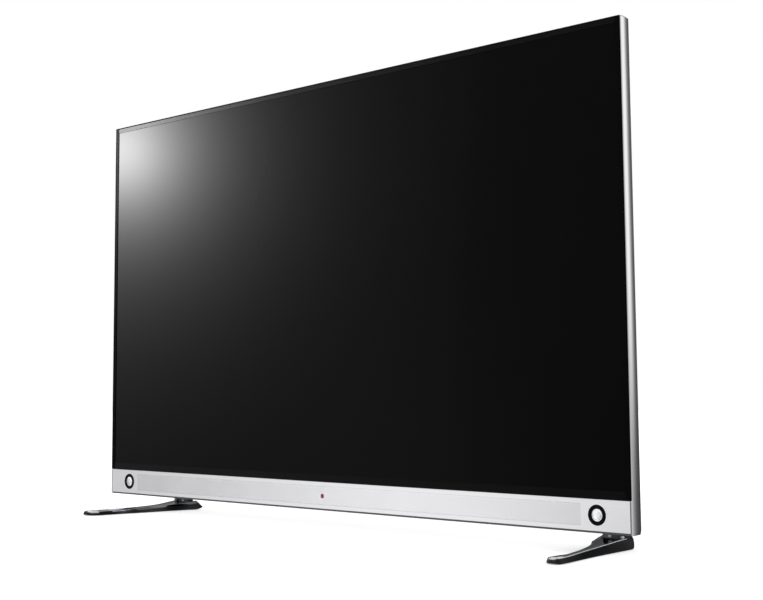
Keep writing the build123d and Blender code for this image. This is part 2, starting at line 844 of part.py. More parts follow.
def foot():
    """Right-hand foot: splayed blade, neck bent up and forward, and its flange on the rear cover."""
    blade = loft([foot_section(*station) for station in foot_stations], ruled=True)
    neck_back = foot_rear_reach - neck_setback
    centre_depth = neck_back - neck_bend_r - neck_thick / 2
    outer_r, inner_r = neck_bend_r + neck_thick / 2, neck_bend_r - neck_thick / 2
    x0, x1 = from_end(neck_inner), from_end(neck_root_outer)
    plane = side_plane(x0, centre_depth, neck_rise)
    corner = Rectangle(outer_r, outer_r, align=(Align.MIN, Align.MAX))
    bend = (Circle(outer_r) - Circle(inner_r)) & corner
    neck = extrude(plane * bend, x1 - x0)
    neck += block(x0, x1, neck_back - neck_thick, neck_back, neck_foot - floor_gap, neck_rise)
    flange_front = cover_depth + flange_thick
    neck += block(x0, x1, flange_front, centre_depth, neck_rise + inner_r, neck_rise + outer_r)
    root_in, root_out = from_end(neck_root_inner), from_end(neck_root_outer)
    taper = Polygon((root_in, neck_rise - outer_r), (root_out, neck_rise - outer_r), (root_out, neck_rise),
                    (from_end(neck_outer), neck_rise + outer_r), (from_end(neck_inner), neck_rise + outer_r),
                    (root_in, neck_rise), align=None)
    front_view = Plane(origin=(0, front_y + foot_rear_reach, floor_gap), x_dir=(1, 0, 0), z_dir=(0, -1, 0))
    neck &= extrude(front_view * taper, foot_rear_reach)
    flange_middle = (from_end(flange_outer) + from_end(flange_inner)) / 2
    flange = panel(RectangleRounded(flange_inner - flange_outer, flange_high - flange_low, flange_corner_r),
                   flange_middle, (flange_low + flange_high) / 2, cover_depth, flange_front)
    body = blade + neck + flange
    for inset in foot_screw_xs:
        for height in foot_screw_heights:
            body -= rod_y(foot_screw_r + foot_screw_gap, from_end(inset), height, cover_depth, flange_front)
    return body


def foot_pads():
    """Two rubber strips under the right-hand foot."""
    toe = SlotOverall(toe_pad_length, toe_pad_width, rotation=toe_pad_turn)
    heel = SlotOverall(heel_pad_length, heel_pad_width, rotation=heel_pad_turn)
    ground = Plane(origin=(0, front_y, 0))
    return [extrude(ground * Pos(from_end(toe_pad_inset), toe_pad_depth) * toe, pad_thick),
            extrude(ground * Pos(from_end(heel_pad_inset), heel_pad_depth) * heel, pad_thick)]


def stand_bracket():
    """Right-hand steel channel that ties the foot's screws to the chassis."""
    x0, x1 = from_end(flange_inner + bracket_margin), from_end(flange_outer - bracket_margin)
    back = cover_depth - cover_wall
    bracket = block(x0, x1, back - bracket_sheet, back, bracket_low, bracket_high)
    for x in (x0, x1 - bracket_leg):
        bracket += block(x, x + bracket_leg, chassis_back, back, bracket_leg_low, bracket_high)
    for inset in foot_screw_xs:
        for height in foot_screw_heights:
            bracket -= rod_y(foot_screw_r + running_fit, from_end(inset), height, back - bracket_sheet, back)
    return bracket


def foot_screws():
    """Four screws of the right-hand foot."""
    face = cover_depth + flange_thick
    screws = []
    for inset in foot_screw_xs:
        for height in foot_screw_heights:
            x = from_end(inset)
            start = cover_depth - cover_wall - bracket_sheet
            screw = rod_y(foot_screw_r, x, height, start, face)
            screws.append(screw + rod_y(foot_screw_head_r, x, height, face, face + foot_screw_head))
    return screws


def cross_shaft():
    """Shaft across the back that keeps both racks level."""
    end = rack_x + gear_width / 2 + shaft_end_beyond
    return rod_x(shaft_r, -end, end, shaft_depth, shaft_height)


def shaft_bearing():
    """Right-hand bearing block of the cross shaft."""
    body = block(bearing_x - bearing_width / 2, bearing_x + bearing_width / 2, chassis_back,
                 shaft_depth + bearing_half, shaft_height - bearing_half, shaft_height + bearing_half)
    return body - rod_x(shaft_r + running_fit, bearing_x - bearing_width / 2,
                        bearing_x + bearing_width / 2, shaft_depth, shaft_height)


def motor_bracket():
    """Plate on the chassis that holds the motor's nose and a bearing of the cross shaft."""
    x0 = motor_bracket_x - motor_bracket_thick / 2
    x1 = motor_bracket_x + motor_bracket_thick / 2
    plate = block(x0, x1, chassis_back, shaft_depth + bearing_half, shaft_height - bearing_half,
                  motor_height + motor_nose_r + bearing_half)
    plate -= rod_x(shaft_r + running_fit, x0, x1, shaft_depth, shaft_height)
    return plate - rod_x(motor_nose_r + running_fit, x0, x1, shaft_depth, motor_height)


def lift_motor():
    """Geared motor with its nose in the bracket."""
    x0 = motor_bracket_x + motor_bracket_thick / 2
    body = rod_x(motor_r, x0, x0 + motor_length, shaft_depth, motor_height)
    body += rod_x(motor_nose_r, x0 - motor_bracket_thick, x0, shaft_depth, motor_height)
    return body - rod_x(motor_axle_r + running_fit, x0 - motor_bracket_thick, x0 + motor_axle_length,
                        shaft_depth, motor_height)


def motor_pinion():
    """Pinion with its axle in the motor."""
    gear = spur_gear(pinion_teeth, math.pi / pinion_teeth, shaft_gear_x, motor_height, 0)
    return gear + rod_x(motor_axle_r, shaft_gear_x, motor_bracket_x + motor_bracket_thick / 2
                        + motor_axle_length - fit_gap, shaft_depth, motor_height)


def power_key():
    """Round key on the back with its retaining flange and press boss."""
    inner_face = cover_depth - cover_wall
    flange_back = inner_face - fit_gap
    flange_front = flange_back - key_flange
    key = rod_y(key_r, key_x, key_height, flange_front, cover_depth + key_proud)
    key += rod_y(key_flange_r, key_x, key_height, flange_front, flange_back)
    return key + rod_y(key_boss_r, key_x, key_height, flange_front - key_boss, flange_front)


def key_holder():
    """Ring block behind the cover that guides the key and carries its switch."""
    inner_face = cover_depth - cover_wall
    body = block(key_x - holder_half, key_x + holder_half, holder_front, inner_face,
                 key_height - holder_half, key_height + holder_half)
    body -= rod_y(key_flange_r + key_gap, key_x, key_height, holder_front + cover_wall / 2, inner_face)
    boss_front = inner_face - fit_gap - key_flange - key_boss
    switch_top = boss_front - key_travel - key_play
    return body + rod_y(key_boss_r, key_x, key_height, holder_front + cover_wall / 2, switch_top)


# Display
save("outer_frame", outer_frame())
save("front_bezel", ring_panel(display_half, display_bottom, display_top, screen_width / 2,
                               screen_bottom, screen_top, bezel_setback, bezel_back))
save("middle_frame", ring_panel(display_half, display_bottom, display_top, ring_half, ring_bottom,
                                ring_top, bezel_back, chassis_back))
save("lcd_panel", block(-panel_half, panel_half, bezel_back, panel_back, panel_bottom, panel_top))
save("optical_sheets", block(-panel_half, panel_half, panel_back, sheet_back, panel_bottom, panel_top))
save("diffuser_plate", block(-panel_half, panel_half, sheet_back, diffuser_back, panel_bottom, panel_top))
save("reflector_sheet", block(-strip_length / 2 - strip_width, strip_length / 2 + strip_width, strip_back,
                              chassis_front, screen_bottom, screen_top))
save("led_strips", *[led_strip(row) for row in range(strip_rows)])
save("backlight_chassis", backlight_chassis())

# Back
save("rear_cover", rear_cover())
save("rear_cover_screws", *[
    rod_y(cover_screw_r, x, height, chassis_back + cover_wall, rim_depth)
    + rod_y(cover_screw_head_r, x, height, rim_depth, rim_depth + cover_screw_head)
    for x, height in cover_post_places()])
save("vesa_inserts", *[
    rod_y(insert_r, x, height, chassis_back, cover_depth)
    - rod_y(insert_bore_r, x, height, chassis_back + cover_wall, cover_depth)
    for x, height in vesa_places()])

# Electronics: board limits in x and height
main_limits = (socket_x - main_board_reach[0], socket_x + main_board_reach[1], board_low, board_high)
power_limits = (inlet_x - power_board_reach[0], inlet_x + power_board_reach[1], board_low, board_high)
driver_limits = (*driver_board_x, driver_board_low, board_high)
timing_limits = (-timing_board_half, timing_board_half, timing_board_low, timing_board_high)
save("main_board", circuit_board(main_limits, [
    (0.40, 0.57, heat_sink_half, heat_sink_half, heat_sink_rise),
    (0.24, 0.24, chip_half, chip_half, chip_rise),
    (0.56, 0.24, chip_half, chip_half, chip_rise),
    (0.20, 0.84, plug_half_width, plug_half_height, plug_rise)]))
save("power_board", circuit_board(power_limits, [
    (0.62, 0.68, transformer_half_width, transformer_half_height, transformer_rise),
    (0.38, 0.68, capacitor_half_width, capacitor_half_height, capacitor_rise),
    (0.77, 0.24, filter_half_width, filter_half_height, capacitor_rise),
    (0.50, 0.30, coil_half, coil_half, coil_rise)]))
save("led_driver_board", circuit_board(driver_limits, [
    (0.31, 0.50, inductor_half, inductor_half, inductor_rise),
    (0.69, 0.50, inductor_half, inductor_half, inductor_rise)]))
save("tcon_board", circuit_board(timing_limits, [(0.50, 0.50, chip_half, chip_half, chip_rise)]))
fixings = [place_pair for limits in (main_limits, power_limits, driver_limits, timing_limits)
           for place_pair in standoff_places(*limits)]
save("board_standoffs", *[rod_y(standoff_r, x, height, chassis_back, board_front) for x, height in fixings])
save("board_screws", *[
    rod_y(board_screw_r, x, height, board_front, board_front + board_thick)
    + rod_y(board_screw_head_r, x, height, board_front + board_thick,
            board_front + board_thick + board_screw_head) for x, height in fixings])
source_top = ring_top - source_board_drop
save("source_boards", *both_sides(block(source_board_gap, from_end(source_board_inset), chassis_back,
                                        chassis_back + board_thick, source_top - source_board_width,
                                        source_top)))
wifi_x = from_end(wifi_inset)
save("wifi_module", block(wifi_x - wifi_half_width, wifi_x + wifi_half_width, chassis_back,
                          chassis_back + wifi_rise, wifi_height - wifi_half_height,
                          wifi_height + wifi_half_height))
save("hdmi_sockets", *[socket(hdmi_width, hdmi_height, socket_x, height) for height in hdmi_heights])
save("usb_sockets", *[socket(usb_width, usb_height, socket_x, height) for height in usb_heights])
save("lan_socket", socket(lan_width, lan_height, socket_x, lan_centre))
save("antenna_socket", antenna_socket())
save("ac_inlet", ac_inlet())
save("power_key", power_key())
save("key_holder", key_holder())
save("woofer_boxes", *both_sides(woofer_box()))
save("woofers", *both_sides(woofer()))

# Stand
save("foot_right", foot())
save("foot_left", foot().mirror(Plane.YZ))
pads = foot_pads()
save("foot_pads", *pads, *[pad.mirror(Plane.YZ) for pad in pads])
save("stand_brackets", *both_sides(stand_bracket()))
screws = foot_screws()
save("foot_screws", *screws, *[screw.mirror(Plane.YZ) for screw in screws])

# Loudspeaker bar
save("bar_front_plate", bar_front_plate())
save("speaker_grille", speaker_grille())
save("bar_housing", bar_housing())
save("bar_bottom_trim", block(-bar_half, bar_half, trim_front, trim_back, -band_drop, -trim_gap))
save("speaker_baffle", speaker_baffle())
for number, driver_x in enumerate(driver_places(), start=1):
    save(f"bar_speaker_{number}", bar_driver(driver_x))
save("tweeters", *both_sides(tweeter()))
save("tweeter_rings", *both_sides(tweeter_ring()))
cap = rod_y(ring_inner_r - ring_hole_gap, from_end(ring_end), ring_height, cap_front, cap_front + cap_thick)
save("tweeter_caps", *both_sides(cap))
save("sensor_board", block(-sensor_board_half, sensor_board_half, baffle_front - sensor_board_thick,
                           baffle_front, lamp_height - sensor_board_half_height,
                           lamp_height + sensor_board_half_height))
save("status_lamp", rod_y(lamp_r, lamp_x, lamp_height, bar_setback, baffle_front - sensor_board_thick))
save("slot_fascia", block(-fascia_half, fascia_half, fascia_front, housing_back,
                          bar_height - slide_gap, fascia_top))
save("carriage_right", carriage())
save("carriage_left", carriage().mirror(Plane.YZ))

# Lift
save("guide_rods", *both_sides(rod_z(guide_rod_r, carriage_x, guide_depth, guide_low, guide_top)))
save("rod_bridges", *both_sides(rod_bridge(guide_low)), *both_sides(rod_bridge(guide_top - guide_block)))
save("shaft_bearings", *both_sides(shaft_bearing()))
save("cross_shaft", cross_shaft())
rack_pinion = spur_gear(pinion_teeth, math.pi / 2, rack_x, shaft_height, shaft_r)
save("rack_pinions", *both_sides(rack_pinion))
save("shaft_gear", spur_gear(shaft_gear_teeth, 0, shaft_gear_x, shaft_height, shaft_r))
save("motor_pinion", motor_pinion())
save("motor_bracket", motor_bracket())
save("lift_motor", lift_motor())
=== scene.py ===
"""Dresses a large flat television with its lowering loudspeaker bar and two blade feet."""

from __future__ import annotations

import logging
import math
from collections.abc import Callable
from dataclasses import dataclass
from enum import Enum, IntEnum
from functools import cache
from typing import NamedTuple

import bmesh
import bpy
from mathutils import Matrix, Vector

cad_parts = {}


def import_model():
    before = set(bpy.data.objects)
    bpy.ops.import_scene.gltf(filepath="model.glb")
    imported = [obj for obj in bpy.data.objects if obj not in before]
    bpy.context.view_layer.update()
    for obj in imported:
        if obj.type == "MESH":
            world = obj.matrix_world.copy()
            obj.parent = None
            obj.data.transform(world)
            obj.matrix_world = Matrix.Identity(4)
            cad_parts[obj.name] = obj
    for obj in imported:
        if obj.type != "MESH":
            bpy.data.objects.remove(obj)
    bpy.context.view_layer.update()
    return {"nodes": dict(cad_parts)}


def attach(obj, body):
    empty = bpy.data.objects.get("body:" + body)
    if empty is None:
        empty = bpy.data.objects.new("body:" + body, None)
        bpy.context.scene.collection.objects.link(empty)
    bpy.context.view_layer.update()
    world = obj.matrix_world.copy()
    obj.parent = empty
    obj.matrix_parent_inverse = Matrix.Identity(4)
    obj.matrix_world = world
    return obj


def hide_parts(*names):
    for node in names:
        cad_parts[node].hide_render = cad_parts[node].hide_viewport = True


LOG = logging.getLogger("television")

# Millimetres to metres, and the planes that every place is counted from.
MM = 0.001
FRONT_Y = -5.5
BAR_EDGE_Z = 37.0
END_X = 614.0

# Where the tweeters are: from the middle, and above the bar's lower edge. Their metal's finish reads it too.
TWEETER_X = 554.5
TWEETER_HEIGHT = 22.7

# Points nearer than this, in metres, are welded. Edges that turn by more than this angle stay sharp. A share
# that something is divided by is at least nearly none.
WELD = 1e-7
SHARP_FROM = math.radians(32.0)
NEARLY_NONE = 1e-6

# Where noise starts and stops to change a colour, and the least roughness that a drift leaves.
NOISE_SPAN = (0.3, 0.7)
LEAST_ROUGHNESS = 0.02

# Distance between the rings of a wave texture whose scale is 1, in metres.
WAVE_RING = 0.31

# Numbers of a colour mix's sockets: its two inputs and its result.
MIX_A, MIX_B, MIX_RESULT = 6, 7, 2

Tree = bpy.types.NodeTree
Node = bpy.types.Node
Socket = bpy.types.NodeSocket
Mesh = bmesh.types.BMesh
Place = tuple[float, float, float]
Pairs = tuple[tuple[float, float], ...]
Outline = list[tuple[float, float]]


def spot(x: float, depth: float, height: float) -> Vector:
    """Give a point in metres from x, depth behind the front plane and height above the bar's lower edge."""
    return Vector((x, FRONT_Y + depth, BAR_EDGE_Z + height)) * MM


def linear(hex_colour: str) -> tuple[float, float, float, float]:
    """Turn an sRGB colour into linear values.

    Args:
        hex_colour: The colour as six hex digits, such as C8C9CB.

    Returns:
        Red, green and blue, with full alpha.
    """
    parts = [int(hex_colour[i:i + 2], 16) / 255 for i in (0, 2, 4)]
    red, green, blue = [p / 12.92 if p <= 0.04045 else ((p + 0.055) / 1.055) ** 2.4 for p in parts]
    return red, green, blue, 1.0


def grey(level: float) -> tuple[float, float, float, float]:
    """Give a grey of a level, with full alpha."""
    return level, level, level, 1.0


def add_node(
    tree: Tree,
    kind: str,
    settings: dict[str, object] | None = None,
    links: dict[str | int, Socket] | None = None,
) -> Node:
    """Add one shader node.

    Args:
        tree: Node tree that takes the node.
        kind: Node type, such as ShaderNodeTexNoise.
        settings: Attributes of the node, or values of its inputs by name.
        links: Output sockets to join to inputs, by the input's name or number.

    Returns:
        The new node.
    """
    node = tree.nodes.new(kind)
    for key, value in (settings or {}).items():
        if hasattr(node, key):
            setattr(node, key, value)
        else:
            node.inputs[key].default_value = value
    for key, socket in (links or {}).items():
        tree.links.new(socket, node.inputs[key])
    return node


class Axis(Enum):
    """Direction that a grain runs in, numbered as in a vector."""

    X = 0
    Z = 2


@dataclass(frozen=True)
class Finish:
    """Surface with a fine grain, a slow drift of tone and a slight unevenness of gloss.

    Attributes:
        name: The material's name.
        colour: Base colour as sRGB hex.
        roughness: Middle roughness.
        metallic: 1 for metals.
        specular: Specular level of the shader.
        grain_mm: Size of the surface grain.
        grain_depth_mm: Height of the grain's bump.
        tone: How far the colour drifts, as a share.
        spread: How far the roughness drifts.
        drift_mm: Size of the slow drift's patches.
    """

    name: str
    colour: str
    roughness: float
    metallic: float = 0.0
    specular: float = 0.5
    grain_mm: float = 0.6
    grain_depth_mm: float = 0.01
    tone: float = 0.06
    spread: float = 0.05
    drift_mm: float = 90.0

    def build(self) -> bpy.types.Material:
        """Make the material.

        Returns:
            A node material on Object coordinates.
        """
        material = bpy.data.materials.new(self.name)
        material.use_nodes = True
        tree = material.node_tree
        shader = tree.nodes["Principled BSDF"]
        shader.inputs["Metallic"].default_value = self.metallic
        shader.inputs["Specular IOR Level"].default_value = self.specular
        material.diffuse_color = linear(self.colour)
        place = add_node(tree, "ShaderNodeTexCoord").outputs["Object"]
        self.paint(tree, shader, place)
        return material

    def paint(self, tree: Tree, shader: Node, place: Socket) -> None:
        """Join colour, roughness and bump to the shader.

        Args:
            tree: The material's node tree.
            shader: Its shader.
            place: Places on the piece.
        """
        drift = self.noise(tree, place, self.drift_mm, detail=3.0)
        self.join_colour(tree, shader, drift)
        self.join_roughness(tree, shader, drift)
        grain = self.noise(tree, place, self.grain_mm, detail=4.0)
        self.join_bump(tree, shader, grain)

    def noise(self, tree: Tree, place: Socket, size_mm: float, detail: float = 2.0) -> Socket:
        """Give noise whose lumps are about size_mm across."""
        settings = {"Scale": 1.0 / (size_mm * MM), "Detail": detail}
        return add_node(tree, "ShaderNodeTexNoise", settings, {"Vector": place}).outputs["Fac"]

    def join_colour(self, tree: Tree, shader: Node, fac: Socket) -> Node:
        """Drift the base colour a little to each side of the written one.

        Args:
            tree: The material's node tree.
            shader: Its shader.
            fac: Pattern that the colour follows.

        Returns:
            The ramp that gives the colour.
        """
        middle = linear(self.colour)
        low = [c * (1 - self.tone) for c in middle[:3]] + [1.0]
        high = [min(1.0, c * (1 + self.tone)) for c in middle[:3]] + [1.0]
        ramp = add_node(tree, "ShaderNodeValToRGB", links={"Fac": fac})
        for element, position, colour in zip(ramp.color_ramp.elements, NOISE_SPAN, (low, high)):
            element.position = position
            element.color = colour
        tree.links.new(ramp.outputs["Color"], shader.inputs["Base Color"])
        return ramp

    def join_roughness(self, tree: Tree, shader: Node, fac: Socket) -> None:
        """Drift the roughness round its middle value.

        Args:
            tree: The material's node tree.
            shader: Its shader.
            fac: Pattern that the roughness follows.
        """
        settings = {"To Min": max(LEAST_ROUGHNESS, self.roughness - self.spread),
                    "To Max": self.roughness + self.spread}
        spread = add_node(tree, "ShaderNodeMapRange", settings, {"Value": fac})
        tree.links.new(spread.outputs["Result"], shader.inputs["Roughness"])

    def join_bump(self, tree: Tree, shader: Node, height: Socket) -> None:
        """Raise the surface by a height map.

        Args:
            tree: The material's node tree.
            shader: Its shader.
            height: The height map, from 0 to 1.
        """
        settings = {"Strength": 1.0, "Distance": self.grain_depth_mm * MM}
        bump = add_node(tree, "ShaderNodeBump", settings, {"Height": height})
        tree.links.new(bump.outputs["Normal"], shader.inputs["Normal"])

    def join_pattern(self, tree: Tree, shader: Node, pattern: Socket) -> None:
        """Let one pattern lead colour, roughness and bump.

        Args:
            tree: The material's node tree.
            shader: Its shader.
            pattern: The pattern, from 0 to 1.
        """
        self.join_colour(tree, shader, pattern)
        self.join_roughness(tree, shader, pattern)
        self.join_bump(tree, shader, pattern)


@dataclass(frozen=True)
class BrushedMetal(Finish):
    """Metal rubbed along one axis: long fine scratches that stretch the highlights across it."""

    along: Axis = Axis.X
    stroke_mm: float = 60.0
    metallic: float = 1.0

    def paint(self, tree: Tree, shader: Node, place: Socket) -> None:
        """Join stretched scratches to colour, roughness and bump.

        Args:
            tree: The material's node tree.
            shader: Its shader.
            place: Places on the piece.
        """
        scale = [1.0 / (self.grain_mm * MM)] * 3
        scale[self.along.value] = 1.0 / (self.stroke_mm * MM)
        stretched = add_node(tree, "ShaderNodeMapping", {"Scale": scale}, {"Vector": place}).outputs["Vector"]
        strokes = add_node(tree, "ShaderNodeTexNoise", {"Scale": 1.0, "Detail": 5.0, "Roughness": 0.6},
                           {"Vector": stretched}).outputs["Fac"]
        self.join_pattern(tree, shader, strokes)


@dataclass(frozen=True)
class PerforatedMetal(Finish):
    """Thin sheet punched with a staggered field of tiny round holes over cloth."""

    pitch_mm: float = 1.2
    hole_share: float = 0.26
    hole_soft: float = 0.06
    hole_colour: str = "A0A0A3"
    metallic: float = 1.0
    drift_mm: float = 70.0

    def paint(self, tree: Tree, shader: Node, place: Socket) -> None:
        """Join the hole field to colour and bump.

        Args:
            tree: The material's node tree.
            shader: Its shader.
            place: Places on the piece.
        """
        turned = add_node(tree, "ShaderNodeMapping", {"Rotation": (0.0, math.radians(45.0), 0.0)},
                          {"Vector": place}).outputs["Vector"]
        split = add_node(tree, "ShaderNodeSeparateXYZ", links={"Vector": turned}).outputs
        flat = add_node(tree, "ShaderNodeCombineXYZ", links={"X": split["X"], "Y": split["Z"]})
        cells = add_node(tree, "ShaderNodeTexVoronoi",
                         {"voronoi_dimensions": "2D", "Scale": 1.0 / (self.pitch_mm * MM), "Randomness": 0.0},
                         {"Vector": flat.outputs["Vector"]})
        limits = {"From Min": self.hole_share - self.hole_soft, "From Max": self.hole_share + self.hole_soft}
        sheet = add_node(tree, "ShaderNodeMapRange", limits, {"Value": cells.outputs["Distance"]})
        drift = self.noise(tree, place, self.drift_mm)
        ramp = self.join_colour(tree, shader, drift)
        mix = add_node(tree, "ShaderNodeMix", {"data_type": "RGBA"},
                       {"Factor": sheet.outputs["Result"], MIX_B: ramp.outputs["Color"]})
        mix.inputs[MIX_A].default_value = linear(self.hole_colour)
        tree.links.new(mix.outputs[MIX_RESULT], shader.inputs["Base Color"])
        self.join_roughness(tree, shader, drift)
        self.join_bump(tree, shader, sheet.outputs["Result"])


@dataclass(frozen=True)
class SpunDisc(Finish):
    """Disc turned on a lathe: concentric tool marks round each tweeter's centre."""

    centre_mm: Place = (TWEETER_X, 0.0, BAR_EDGE_Z + TWEETER_HEIGHT)
    ring_mm: float = 0.5
    metallic: float = 1.0

    def paint(self, tree: Tree, shader: Node, place: Socket) -> None:
        """Join rings round the two mirrored centres.

        Args:
            tree: The material's node tree.
            shader: Its shader.
            place: Places on the piece.
        """
        mirrored = add_node(tree, "ShaderNodeVectorMath", {"operation": "ABSOLUTE"}, {0: place}).outputs[0]
        centred = add_node(tree, "ShaderNodeVectorMath", {"operation": "SUBTRACT"}, {0: mirrored})
        centred.inputs[1].default_value = Vector(self.centre_mm) * MM
        settings = {"wave_type": "RINGS", "rings_direction": "Y", "Scale": WAVE_RING / (self.ring_mm * MM),
                    "Distortion": 0.4}
        rings = add_node(tree, "ShaderNodeTexWave", settings, {"Vector": centred.outputs["Vector"]})
        self.join_pattern(tree, shader, rings.outputs["Fac"])


@dataclass(frozen=True)
class CircuitBoard(Finish):
    """Glass-fibre board with green lacquer over a net of copper tracks."""

    track_mm: float = 2.4

    def paint(self, tree: Tree, shader: Node, place: Socket) -> None:
        """Join raised tracks to colour and bump.

        Args:
            tree: The material's node tree.
            shader: Its shader.
            place: Places on the piece.
        """
        tracks = add_node(tree, "ShaderNodeTexVoronoi",
                          {"distance": "CHEBYCHEV", "feature": "F2", "Scale": 1.0 / (self.track_mm * MM)},
                          {"Vector": place}).outputs["Distance"]
        self.join_pattern(tree, shader, tracks)


@dataclass(frozen=True)
class TapedBorder(Finish):
    """Satin black moulding whose two upright strips are covered with matt tape."""

    strip_from_mm: float = 603.0
    strip_soft_mm: float = 0.5
    strip_specular: float = 0.004

    def paint(self, tree: Tree, shader: Node, place: Socket) -> None:
        """Join the usual grain, then dull the upright strips.

        Args:
            tree: The material's node tree.
            shader: Its shader.
            place: Places on the piece.
        """
        super().paint(tree, shader, place)
        across = add_node(tree, "ShaderNodeSeparateXYZ", links={"Vector": place}).outputs["X"]
        aside = add_node(tree, "ShaderNodeMath", {"operation": "ABSOLUTE"}, {0: across}).outputs[0]
        full_from_mm = self.strip_from_mm + self.strip_soft_mm
        settings = {"From Min": self.strip_from_mm * MM, "From Max": full_from_mm * MM,
                    "To Min": self.specular, "To Max": self.strip_specular}
        shine = add_node(tree, "ShaderNodeMapRange", settings, {"Value": aside}).outputs["Result"]
        tree.links.new(shine, shader.inputs["Specular IOR Level"])


@dataclass(frozen=True)
class HeelShadedChrome(Finish):
    """Polished chrome whose colour is darkened from the toe towards the heel: painted shade where the foot
    runs under the set.
    """

    shade_from_mm: float = -40.0
    shade_to_mm: float = 60.0
    shaded_heel_share: float = 0.22

    def paint(self, tree: Tree, shader: Node, place: Socket) -> None:
        """Join the usual grain, then darken its colour towards the heel, as painted shade.

        Args:
            tree: The material's node tree.
            shader: Its shader.
            place: Places on the piece.
        """
        super().paint(tree, shader, place)
        # Painted shade: the colour is scaled down towards the heel.
        back = add_node(tree, "ShaderNodeSeparateXYZ", links={"Vector": place}).outputs["Y"]
        settings = {"From Min": self.shade_from_mm * MM, "From Max": self.shade_to_mm * MM,
                    "To Min": 1.0, "To Max": self.shaded_heel_share}
        share = add_node(tree, "ShaderNodeMapRange", settings, {"Value": back}).outputs["Result"]
        grain = shader.inputs["Base Color"].links[0].from_socket
        shaded_colour = add_node(tree, "ShaderNodeVectorMath", {"operation": "SCALE"}, {0: grain, "Scale": share})
        tree.links.new(shaded_colour.outputs["Vector"], shader.inputs["Base Color"])


@dataclass(frozen=True)
class LampLens(Finish):
    """Clear red acrylic with a faint glow from the diode behind it."""

    glow: float = 0.35

    def paint(self, tree: Tree, shader: Node, place: Socket) -> None:
        """Join the usual grain, then add the glow.

        Args:
            tree: The material's node tree.
            shader: Its shader.
            place: Places on the piece.
        """
        super().paint(tree, shader, place)
        shader.inputs["Emission Color"].default_value = linear(self.colour)
        shader.inputs["Emission Strength"].default_value = self.glow


# Most real grains here are finer than a pixel of the render. They are drawn 0.3 to 1.2 mm across, which shows
# near by as an uneven sheen.

# Extruded aluminium, polished and anodised: clear, slightly soft reflections, from white to dark grey.
BAND = Finish("anodised_band", "E0E0E2", 0.12, 1.0, grain_mm=0.5, grain_depth_mm=0.002, tone=0.03,
              spread=0.03)
# Aluminium brushed along the bar and clear anodised: an even pale silver with faint lengthwise streaks. Its
# scratches, under 0.1 mm wide, are drawn 0.45 mm wide to show.
BAR_FACE = BrushedMetal("brushed_bar_face", "EAEAEC", 0.3, grain_mm=0.45, grain_depth_mm=0.004, tone=0.035)
# Punched aluminium over grey cloth: a little darker than the bar's face, with a dotted sheen near by. Its
# holes, about 0.8 mm apart on such sheets, are drawn 1.2 mm apart to show.
GRILLE = PerforatedMetal("perforated_grille", "E9E9EB", 0.2, grain_depth_mm=0.03, tone=0.02)
# Aluminium spun on a lathe: near white, with a fan of light round its centre. Its tool marks, about 0.1 mm
# apart, are drawn 0.5 mm apart to show.
CAP = SpunDisc("spun_tweeter_cap", "F8F8FA", 0.26, grain_depth_mm=0.01, tone=0.04)
# Moulded ABS in gloss black lacquer: a deep black ring with a thin highlight.
RING = Finish("black_lacquered_ring", "050506", 0.24, specular=0.06, grain_depth_mm=0.001)
# Glass with a low-reflection coating: nearly black, with one dim and soft reflection.
SCREEN = Finish("coated_screen_glass", "050506", 0.12, specular=0.028, grain_mm=0.3, grain_depth_mm=0.0,
                spread=0.01)
# Moulded satin ABS with matt tape on its uprights: black, a touch lighter than the screen.
BORDER = TapedBorder("satin_black_border", "0A0A0B", 0.22, specular=0.032, grain_mm=0.35,
                     grain_depth_mm=0.004)
# Painted shade in the shadow gap: a dull dark line on the groove and the lip, between the band and the
# screen.
GAP_SHADE = Finish("painted_shadow_gap", "141416", 0.5, specular=0.1, grain_mm=0.4, grain_depth_mm=0.004)
# ABS moulded against a spark-eroded tool: a matt black with a fine leathery grain.
BACK = Finish("textured_back_moulding", "17171A", 0.52, grain_mm=1.1, grain_depth_mm=0.05, tone=0.12)
# Plain moulded ABS: satin black.
BLACK = Finish("black_moulding", "101012", 0.45, grain_mm=0.5, grain_depth_mm=0.015, tone=0.1)
# Moulded grey ABS: a soft dark line under the bar and behind its slot.
TRIM = Finish("dark_edge_trim", "424246", 0.4, grain_mm=0.5, grain_depth_mm=0.01)
# Cast polyester film and acrylic: milky and even.
FILM = Finish("milky_light_film", "DCDFE4", 0.3, grain_mm=0.3, grain_depth_mm=0.004, tone=0.02)
# Moulded white polycarbonate: warm white with a low sheen.
WHITE = Finish("white_moulding", "D6D6D2", 0.5, grain_mm=0.6, grain_depth_mm=0.02)
# Moulded acetal: ivory, waxy and a little glossier than other mouldings.
ACETAL = Finish("acetal_gear", "E2DFD2", 0.38, grain_mm=0.4, grain_depth_mm=0.006)
# Pressed sheet steel, zinc plated: grey metal with cloudy patches from the bath.
STEEL = Finish("zinc_plated_steel", "A9ABAE", 0.34, 1.0, grain_mm=3.0, grain_depth_mm=0.01, tone=0.12,
               spread=0.1)
# Steel ground lengthwise: a bright line along the shaft, and another along the upright rods. Its scratches,
# under 0.1 mm wide, are drawn 0.3 mm wide to show.
SHAFT = BrushedMetal("ground_steel_rod", "B4B6B9", 0.25, along=Axis.X, grain_mm=0.3, grain_depth_mm=0.003)
RODS = BrushedMetal("ground_guide_rod", "B4B6B9", 0.25, along=Axis.Z, grain_mm=0.3, grain_depth_mm=0.003)
# Steel in black zinc: dark metal with sharp small glints in the recesses.
SCREW = Finish("black_zinc_screw", "4A4A4D", 0.36, 1.0, grain_mm=0.4, grain_depth_mm=0.008, tone=0.15)
# Pressed steel, nickel plated: a warm, fairly bright metal.
PLATED = Finish("nickel_plated_shell", "B9B8B2", 0.27, 1.0, grain_mm=0.4, grain_depth_mm=0.004)
